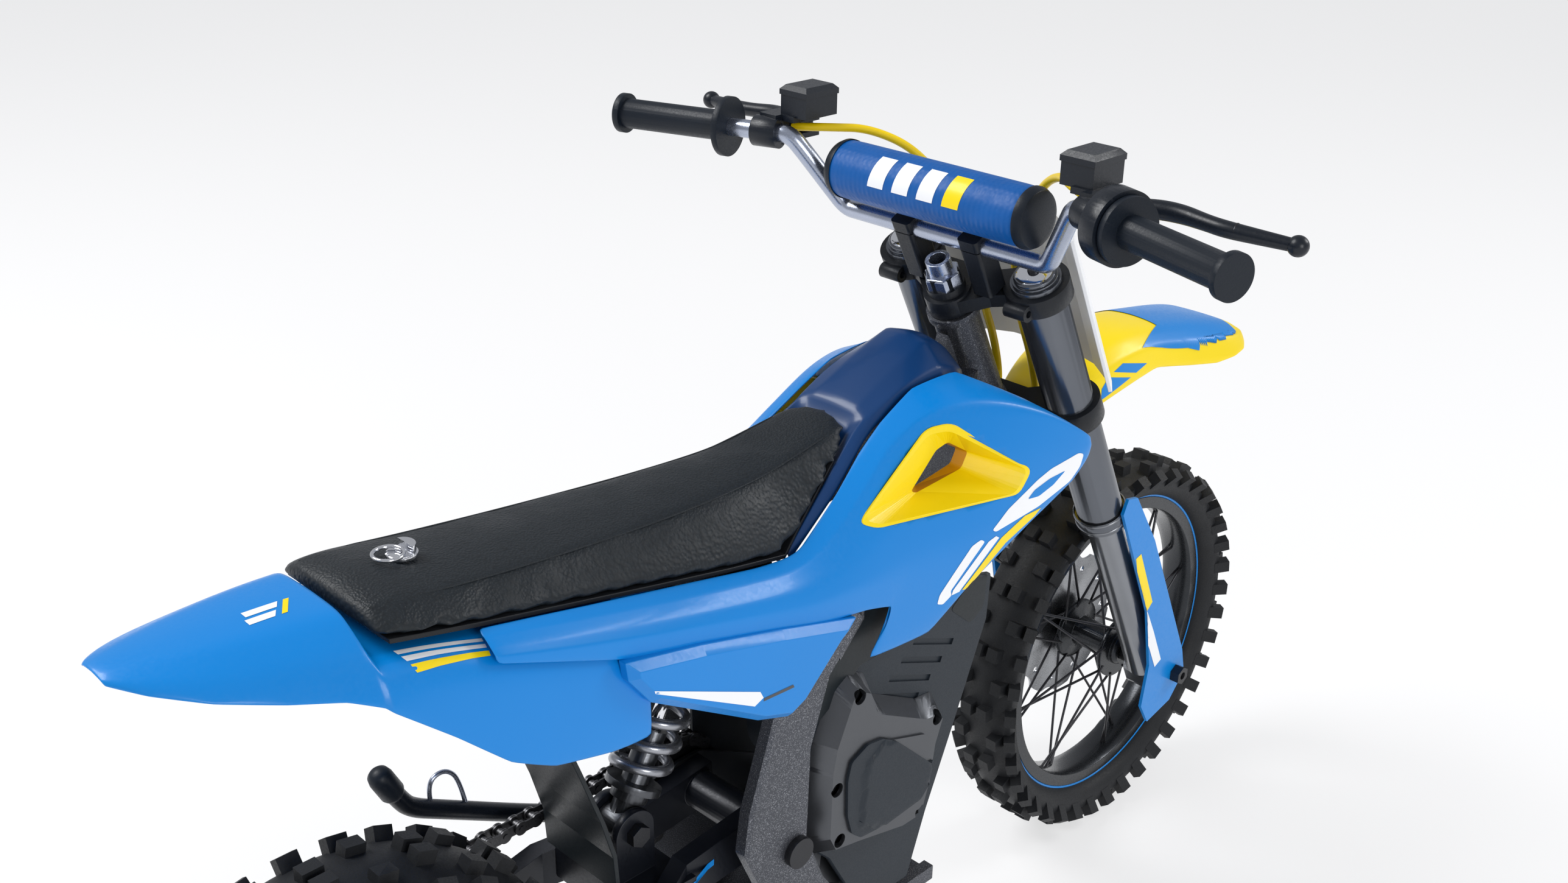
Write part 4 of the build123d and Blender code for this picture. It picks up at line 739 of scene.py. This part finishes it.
def swell(made, voxel, pressure, cap):
    """Fills the form as foam fills its cover, moving no point further than cap (all in millimetres)."""
    remesh = made.modifiers.new("remesh", "REMESH")
    remesh.mode = "VOXEL"
    remesh.voxel_size = voxel * MM
    bake(made)
    rest = [v.co.copy() for v in made.data.vertices]
    scene = bpy.context.scene
    cloth = made.modifiers.new("cloth", "CLOTH")
    cloth.settings.use_pressure = True
    cloth.settings.uniform_pressure_force = pressure
    cloth.settings.effector_weights.gravity = 0.0
    cloth.settings.tension_stiffness = 40.0
    cloth.settings.compression_stiffness = 40.0
    cloth.settings.bending_stiffness = 6.0
    cloth.point_cache.frame_start = 1
    cloth.point_cache.frame_end = 20
    for number in range(1, 21):
        scene.frame_set(number)
    bake(made)
    scene.frame_set(1)
    for vertex, start in zip(made.data.vertices, rest):
        move = vertex.co - start
        if move.length > cap * MM:
            vertex.co = start + move.normalized() * cap * MM
    fine = made.modifiers.new("fine", "SUBSURF")
    fine.levels = 1
    bake(made)
    made.data.shade_smooth()
    return made


seat_pad = seat_form()
swell(seat_pad, 2.2, 3.0, 0.7)
seat_pad.data.shade_smooth()
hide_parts("seat_cushion")
SEAT_TREE = tree_of(seat_pad)


def seam(name, column, side, lift):
    """Stitched ridge along the seat where its top meets its side."""
    route = []
    for x, half in SEAT[1:-1]:
        y, z = half[column]
        near = SEAT_TREE.find_nearest(Vector((x, side * y, z + 1.0)) * MM)
        route.append((near[0] + near[1] * lift * MM) / MM)
    tube(name, route, 0.35, LEATHER, "seat", bevel_resolution=2)


for side, tag in ((1, "left"), (-1, "right")):
    seam("seat_seam_" + tag, 1, side, -0.1)

PAD_CENTRE = (61.0, 0.0, 313.0)
PAD_PROFILE = [(0.0, -43.9), (7.2, -43.9), (9.2, -43.2), (10.1, -41.2), (10.25, -36.0), (10.3, 0.0), (10.25, 36.0),
               (10.1, 41.2), (9.2, 43.2), (7.2, 43.9), (0.0, 43.9)]
bar_roll = lathe("bar_roll", PAD_PROFILE, PAD_CENTRE, (0, 1, 0), PAD_BLUE, HEAD, segments=64)
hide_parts("bar_pad")
PAD_TREE = tree_of(bar_roll)


# ---------------------------------------------------------------- details that ride on the CAD parts

def steer(x, y, z):
    """Row place of a point given along and across the steering axis."""
    return (STEER_TOP[0] + x * cos(RAKE) - z * sin(RAKE), y, STEER_TOP[1] + x * sin(RAKE) + z * cos(RAKE))


STEER_AXIS = (-sin(RAKE), 0.0, cos(RAKE))
FORK_OFFSET = 14.6
FORK_HALF = 28.5
TUBE_TOP = -3.6
SEAL_AT = -129.0
AXLE_LINE = (0.0, 1.0, 0.0)

# Handlebar: one tube with two bends on each side
BAR_ROUTE = [(35.0, 124.0, 321.5), (45.0, 90.5, 322.0), (51.5, 68.5, 322.4), (53.5, 62.0, 322.5), (56.6, 57.8, 316.5),
             (63.0, 49.0, 303.0), (66.0, 45.0, 297.0), (66.0, 38.0, 297.0), (66.0, 20.0, 297.0)]
BAR_ROUTE = BAR_ROUTE + [(x, -y, z) for x, y, z in reversed(BAR_ROUTE)]
handlebar = tube("handlebar_tube", BAR_ROUTE, 3.3, SILVER, HEAD)
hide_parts("handlebar")

CAP = [(0.0, 0.9), (5.6, 0.9), (6.4, 0.5), (6.9, 0.0)]
ADJUSTER = [(0.0, 1.9), (1.9, 1.9), (2.1, 1.7), (2.1, 0.8)]
for side, tag in ((1, "left"), (-1, "right")):
    top = steer(FORK_OFFSET, side * FORK_HALF, TUBE_TOP + 2.2)
    lathe("fork_cap_" + tag, CAP, top, STEER_AXIS, CHROME, HEAD)
    lathe("adjuster_" + tag, ADJUSTER, top, STEER_AXIS, BOLT, HEAD, 24)
    seal = steer(FORK_OFFSET, side * FORK_HALF, SEAL_AT)
    for height in (1.0, 5.0):
        ring = [(9.9, height), (10.5, height + 0.5), (10.5, height + 1.1), (9.9, height + 1.6)]
        lathe(f"seal_ring_{tag}_{int(height)}", ring, seal, STEER_AXIS, STANCHION, HEAD)

STEM = steer(0, 0, 0)
lathe("stem_tube", [(3.0, 2.0), (3.0, 8.7), (4.5, 8.7), (4.5, 2.0)], STEM, STEER_AXIS, SILVER, HEAD)
lathe("stem_nut", [(4.3, -2.2), (4.3, 3.0), (6.1, 3.0), (6.8, 2.4), (6.8, -2.2)], STEM, STEER_AXIS, SILVER, HEAD,
      segments=6)


def lever_blade(tag, side, body):
    """Dog-leg blade over the lever's core, wide at the pivot and thin before the ball."""
    route = [(66.8, 72.0, 322.9), (69.4, 79.0, 322.9), (71.8, 88.0, 322.8), (70.6, 98.0, 322.3), (70.2, 105.0, 321.9),
             (72.4, 115.0, 321.3), (74.4, 124.5, 320.8)]
    tube("lever_blade_" + tag, [(x, side * y, z) for x, y, z in route], 1.0, LEVER, body,
         widths=(2.2, 3.2, 3.1, 2.6, 2.7, 2.4, 2.1))
    lathe("lever_score_" + tag, [(2.6, -0.3), (2.75, 0.0), (2.6, 0.3)], (71.0, side * 108.0, 321.75),
          (0.2, side * 1.0, -0.06), BOLT, body, 24)


lever_blade("left", 1, "rear_brake_control")
lever_blade("right", -1, "front_brake_control")


RIM_EDGE = 6.8
LINE_RISE = 0.45


def rim_line(tag, axle, radius, body):
    """Painted line round both rim edges."""
    for side, edge in ((-1, "right"), (1, "left")):
        line = [(radius - 0.7, 0.0), (radius - 0.3, side * LINE_RISE), (radius + 0.3, side * LINE_RISE),
                (radius + 0.7, 0.0)]
        lathe(f"rim_line_{tag}_{edge}", line, (axle[0], side * RIM_EDGE * 1.06, axle[1]), AXLE_LINE, BLUE, body,
              128)


rim_line("front", FRONT_AXLE, 68.8, "front_wheel")
rim_line("rear", REAR_AXLE, 64.2, "rear_wheel")

# Cables from the lever perches down in front of the steering head
CABLE_ROUTE = [
    (58.5, 65.9, 323.8), (64.0, 53.0, 325.0), (74.0, 42.0, 325.0), (84.0, 28.0, 318.0), (90.0, 16.0, 302.0),
    (94.5, 9.5, 284.0), (102.0, 8.2, 262.0), (111.5, 8.4, 243.0), (117.0, 9.0, 223.0), (110.5, 9.6, 208.0),
    (97.0, 10.0, 200.5), (81.2, 10.2, 197.2),
]
for side, tag in ((1, "left"), (-1, "right")):
    cable = tube("cable_" + tag, [(x, side * y, z) for x, y, z in CABLE_ROUTE], 1.5, CABLE, None)
    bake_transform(cable)
    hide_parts("control_cables")

# Shock spring: a coil along the shock from its lower eye
SHOCK_AXIS = Vector((SHOCK_TOP[0] - SHOCK_EYE[0], 0, SHOCK_TOP[1] - SHOCK_EYE[1])).normalized()


def shock_place(along, across=0.0, y=0.0):
    """Point along the shock from its lower eye."""
    out = Vector((SHOCK_AXIS.z, 0, -SHOCK_AXIS.x))
    return Vector((SHOCK_EYE[0], 0, SHOCK_EYE[1])) + SHOCK_AXIS * along + out * across + Vector((0, y, 0))


def coil_route(low, high, turns, radius, per_turn=12):
    """Points round a helix, closed up at both ends."""
    count = int(turns * per_turn)
    route = []
    for i in range(count + 1):
        share = i / count
        eased = share * share * (3 - 2 * share) * 0.25 + share * 0.75
        angle = 2 * pi * turns * share
        grow = radius / cos(pi / per_turn)
        route.append(shock_place(low + (high - low) * eased, grow * cos(angle), grow * sin(angle)))
    return route


spring = tube("spring_coil", coil_route(17.0, 59.0, 5.5, 8.9), 1.8, SPRING, None)
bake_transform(spring)
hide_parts("shock_spring")


# ---------------------------------------------------------------- painted graphics (all generic)

def both_sides(points):
    """Half outline with its mirror image across Y."""
    return points + [(x, -y) for x, y in reversed(points) if abs(y) > 0.01]


TAIL = tree_of(rear_fender)
TAIL_MARKS = [
    ("tail_mark_white", [(-203.0, -1.5), (-193.0, -1.5), (-194.5, -4.0), (-203.0, -4.0)], WHITE, "plate_white"),
    ("tail_mark_bar", [(-204.0, -5.2), (-195.4, -5.2), (-197.0, -7.7), (-204.0, -7.7)], WHITE, "plate_white"),
    ("tail_mark_yellow", [(-191.4, -1.5), (-189.8, -1.5), (-193.6, -7.7), (-195.2, -7.7)], YELLOW, "shell_yellow"),
]
for mark, outline, look, slot in TAIL_MARKS:
    decal(mark, TAIL, outline, TOP, look, ROOT, slot)
SEAM_MARKS = [
    ("seam_white_upper", [(-174.0, 22.9), (-149.1, 25.9), (-149.5, 27.2), (-173.8, 24.8)], WHITE, "plate_white"),
    ("seam_white_lower", [(-173.6, 25.9), (-149.7, 28.2), (-150.1, 29.5), (-173.2, 27.8)], WHITE, "plate_white"),
    ("seam_yellow", [(-172.9, 28.9), (-150.2, 30.5), (-150.6, 31.8), (-172.3, 30.7)], YELLOW, "shell_yellow"),
]
for mark, outline, look, slot in SEAM_MARKS:
    decal(mark + "_left", TAIL, outline, TOP, look, ROOT, slot)
    decal(mark + "_right", TAIL, [(x, -y) for x, y in outline], TOP, look, ROOT, slot)

SWOOSHES = [
    ("swoosh_upper", [(49.7, 204.6), (57.0, 210.2), (65.4, 214.4), (71.0, 217.4), (77.4, 220.0), (90.5, 222.6),
                      (93.4, 221.4), (92.4, 216.6), (88.6, 211.8), (73.0, 206.6), (51.4, 203.4)],
     1.2, WHITE, "plate_white", 0.12),
    ("swoosh_slot", [(66.4, 211.4), (69.6, 214.0), (77.0, 216.4), (84.6, 217.4), (79.0, 213.4), (72.0, 211.0)],
     1.0, BLUE, "shell_blue", 0.2),
    ("swoosh_lower", [(25.6, 183.6), (26.4, 187.0), (40.2, 201.4), (44.4, 202.6), (46.4, 201.2), (31.8, 186.6),
                      (32.6, 184.6), (28.6, 182.4)], 0.8, WHITE, "plate_white", 0.12),
    ("swoosh_middle", [(32.6, 184.6), (33.0, 186.4), (48.4, 200.6), (51.8, 201.6), (53.6, 200.4), (36.4, 184.6)],
     None, WHITE, "plate_white", 0.12),
    ("swoosh_yellow", [(37.8, 184.8), (55.0, 200.0), (66.0, 205.0), (74.6, 205.4), (71.6, 202.8), (57.8, 196.8),
                       (41.0, 184.0)], None, YELLOW, "shell_yellow", 0.12),
]
for name, outline, corner, look, slot, lift in SWOOSHES:
    shape = rounded(outline, corner) if corner else outline
    side_decals(name, SHROUDS, shape, look, ROOT, slot, lift=lift)

COVERS = tree_of(NODES["side_covers"])
side_decals("cover_wedge", (COVERS, COVERS), [(-103.8, 207.9), (-61.7, 188.9), (-60.3, 186.2), (-64.0, 184.7),
            (-103.2, 206.7)], WHITE, ROOT, "plate_white")
side_decals("cover_bar", (COVERS, COVERS), [(-60.2, 184.8), (-60.0, 185.9), (-47.4, 185.2), (-46.8, 184.0)],
            GRAPHITE, ROOT, "motor_graphite")

FENDER = tree_of(front_fender)
TIP_HALF = [(209.0, 0.0), (190.0, -12.0), (171.0, -18.4), (200.0, -21.4), (219.0, -24.8), (231.0, -25.6),
            (237.0, -22.6), (240.6, -12.0)]
decal("fender_tip", FENDER, both_sides(TIP_HALF), TOP, BLUE, HEAD, "shell_blue", lift=0.3, step=1.6)
side_decals("fender_bar_upper", (FENDER, FENDER), [(151.5, 228.3), (157.3, 230.4), (172.8, 226.6), (165.4, 224.6)],
            BLUE, HEAD, "shell_blue")
side_decals("fender_bar_lower", (FENDER, FENDER), [(148.2, 227.0), (161.9, 223.6), (143.4, 219.0), (144.1, 223.3)],
            BLUE, HEAD, "shell_blue")

GUARDS = tree_of(NODES["fork_guards"])
side_decals("guard_yellow", (GUARDS, GUARDS), [(147.6, 156.3), (151.0, 157.3), (163.8, 130.6), (159.0, 126.2),
            (152.6, 139.2)], YELLOW, "fork_lower", "shell_yellow")
side_decals("guard_white", (GUARDS, GUARDS), [(154.6, 136.8), (160.6, 127.6), (167.6, 115.0), (176.0, 98.2),
            (171.7, 96.2), (163.9, 111.2)], WHITE, "fork_lower", "plate_white", lift=0.14)

LOWER = tree_of(NODES["lower_guards"])
side_decals("badge_pocket", (LOWER, LOWER), rounded([(46.1, 169.0), (60.5, 179.6), (66.2, 177.6), (65.2, 163.0),
            (58.0, 158.8)], 2.0), GLOSS_BLACK, ROOT, "shell_black", lift=0.15)
PLATE_OUTLINE = rounded([(-15.0, 130.0), (-13.3, 136.9), (-5.3, 140.4), (2.5, 139.2), (9.1, 135.3), (29.4, 116.0),
                         (30.3, 112.9), (28.0, 107.9), (24.0, 103.6), (1.5, 101.8), (-7.4, 102.8), (-12.0, 106.8),
                         (-14.5, 115.3)], 1.2)
MOTOR_TREE = tree_of(NODES["motor_covers"])
for tag, plane, flip in (("right", RIGHT, 1), ("left", LEFT, -1)):
    plate = decal("motor_plate_" + tag, MOTOR_TREE, [(flip * x, z) for x, z in PLATE_OUTLINE], plane, SLATE, ROOT,
                  "motor_graphite", lift=1.1)
    body = plate.modifiers.new("body", "SOLIDIFY")
    body.thickness = 1.6 * MM
    body.offset = -1.0
    rim = plate.modifiers.new("rim", "BEVEL")
    rim.width = 0.5 * MM
    rim.segments = 3
    rim.angle_limit = radians(50.0)

# Black panels that close the gap between the spars, the lower guards and the shrouds
PANEL = [(-30.0, 150.0), (-30.0, 200.0), (-20.0, 203.0), (12.0, 200.0), (15.0, 176.0), (12.0, 168.6), (-3.0, 167.6),
         (-16.0, 158.0)]
for side, tag in ((1, "left"), (-1, "right")):
    panel = prism("inner_panel_" + tag, PANEL, side * 29.5, side * 31.0, GLOSS_BLACK)
    panel.data.shade_flat()
    corners = panel.modifiers.new("corners", "BEVEL")
    corners.width = 0.4 * MM
    corners.segments = 3

ARMS = tree_of(NODES["swingarm"])
side_decals("arm_stripe", (ARMS, ARMS), [(-150.0, 95.4), (-60.0, 112.0), (-60.0, 109.6), (-150.0, 93.0)], BLUE,
            "rear_arm", "shell_blue", lift=0.15)

# Bars across the face of the roll, and black end caps
ROLL_PLANE = (PAD_CENTRE, (0, -1, 0), (0.50, 0, 0.87))
for number, low in enumerate((-22.0, -11.0, 0.0, 11.0)):
    look, slot = (YELLOW, "shell_yellow") if number == 3 else (WHITE, "plate_white")
    bar = [(low, -5.5), (low + 7.0, -5.5), (low + 9.0, 5.5), (low + 2.0, 5.5)]
    decal(f"roll_bar_{number}", PAD_TREE, bar, ROLL_PLANE, look, HEAD, slot, lift=0.12)
ROLL_CAP = [(0.0, 2.75), (7.3, 2.75), (9.5, 2.0), (10.5, 0.0), (10.5, -1.4)]
for side, tag in ((1, "left"), (-1, "right")):
    end = (PAD_CENTRE[0], side * 41.4, PAD_CENTRE[2])
    lathe("roll_cap_" + tag, ROLL_CAP, end, (0, side, 0), RUBBER, HEAD)

# Side stand: leg, rubber foot and spring loop
STAND_Y = 40.0
STAND_ROUTE = [(-58.0, 98.0), (-66.0, 101.8), (-90.0, 113.8), (-126.0, 134.2), (-135.6, 139.6), (-140.0, 144.6),
               (-145.6, 155.6)]
leg = tube("stand_leg", [(x, STAND_Y, z) for x, z in STAND_ROUTE], 3.2, LEVER, "side_stand")
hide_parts("kickstand")
foot_along = Vector((-5.6, 0.0, 11.0)).normalized()
lathe("stand_foot", [(0.0, 4.4), (2.2, 4.0), (3.6, 2.6), (4.1, 0.4), (4.1, -7.0), (3.5, -8.4)],
      (-145.6, STAND_Y, 155.6), foot_along, RUBBER, "side_stand", 32)
lathe("stand_hub", [(2.2, -2.8), (4.4, -2.8), (4.7, -2.4), (4.7, 2.4), (4.4, 2.8), (2.2, 2.8)],
      (STAND_PIVOT[0], STAND_Y + 0.2, STAND_PIVOT[1]), AXLE_LINE, LEVER, "side_stand", 48)
LOOP_ROUTE = [(-128.5, 136.0), (-129.6, 141.4), (-128.2, 147.4), (-122.4, 148.0), (-117.6, 142.0), (-115.6, 129.4)]
tube("stand_loop", [(x, STAND_Y, z) for x, z in LOOP_ROUTE], 0.8, SILVER, "side_stand")


# ---------------------------------------------------------------- camera, light and floor

FLOOR_GLOW = 0.62
FLOOR_REACH = 6.0
CAMERA_PLACE = (-0.36466, -0.35024, 0.46764)
CAMERA_AZIMUTH = radians(-45.36)
CAMERA_ELEVATION = radians(24.31)
CAMERA_ROLL = radians(0.92)


def stage_scene():
    """White floor and backdrop, soft lights, and the camera."""
    white = bpy.data.materials.new("floor_white")
    white.use_nodes = True
    surface = white.node_tree.nodes["Principled BSDF"]
    surface.inputs["Base Color"].default_value = (0.34, 0.34, 0.345, 1.0)
    surface.inputs["Roughness"].default_value = 0.7
    surface.inputs["Emission Color"].default_value = (1.0, 1.0, 1.0, 1.0)
    surface.inputs["Emission Strength"].default_value = FLOOR_GLOW
    mesh = bpy.data.meshes.new("floor")
    corners = [(x * FLOOR_REACH, y * FLOOR_REACH, 0) for x, y in ((-1, -1), (1, -1), (1, 1), (-1, 1))]
    mesh.from_pydata(corners, [], [(0, 1, 2, 3)])
    floor = bpy.data.objects.new("floor", mesh)
    floor.data.materials.append(white)
    bpy.context.scene.collection.objects.link(floor)
    world = bpy.data.worlds.new("studio")
    world.use_nodes = True
    world.node_tree.nodes["Background"].inputs["Color"].default_value = (0.93, 0.95, 1.0, 1.0)
    world.node_tree.nodes["Background"].inputs["Strength"].default_value = 0.46
    bpy.context.scene.world = world
    bpy.context.scene.view_settings.view_transform = "Standard"
    soft_light("key", (-0.7, 0.9, 1.5), (0.0, 0.0, 0.15), 0.8, 22.0)
    soft_light("side", (-0.5, -1.4, 0.7), (0.0, 0.0, 0.15), 0.5, 7.5)
    soft_light("front", (1.3, -0.7, 1.0), (0.05, 0.0, 0.2), 0.5, 8.0)
    camera = bpy.data.cameras.new("camera")
    camera.sensor_fit = "HORIZONTAL"
    camera.sensor_width = 36.0
    camera.lens = 38.32
    camera.clip_start = 0.01
    made = bpy.data.objects.new("camera", camera)
    level = cos(CAMERA_ELEVATION)
    back = Vector((sin(CAMERA_AZIMUTH) * level, -cos(CAMERA_AZIMUTH) * level, sin(CAMERA_ELEVATION)))
    across = Vector((0, 0, 1)).cross(back).normalized()
    upward = back.cross(across)
    turned_across = across * cos(CAMERA_ROLL) + upward * sin(CAMERA_ROLL)
    turned_up = upward * cos(CAMERA_ROLL) - across * sin(CAMERA_ROLL)
    turn = Matrix((turned_across, turned_up, back)).transposed()
    made.matrix_world = Matrix.Translation(CAMERA_PLACE) @ turn.to_4x4()
    bpy.context.scene.collection.objects.link(made)
    bpy.context.scene.camera = made


def soft_light(name, place, target, size, power):
    """Square soft box aimed at a point."""
    light = bpy.data.lights.new(name, "AREA")
    light.size = size
    light.energy = power
    made = bpy.data.objects.new(name, light)
    made.location = place
    aim = Vector(target) - Vector(place)
    made.rotation_euler = aim.to_track_quat("-Z", "Y").to_euler()
    bpy.context.scene.collection.objects.link(made)


stage_scene()
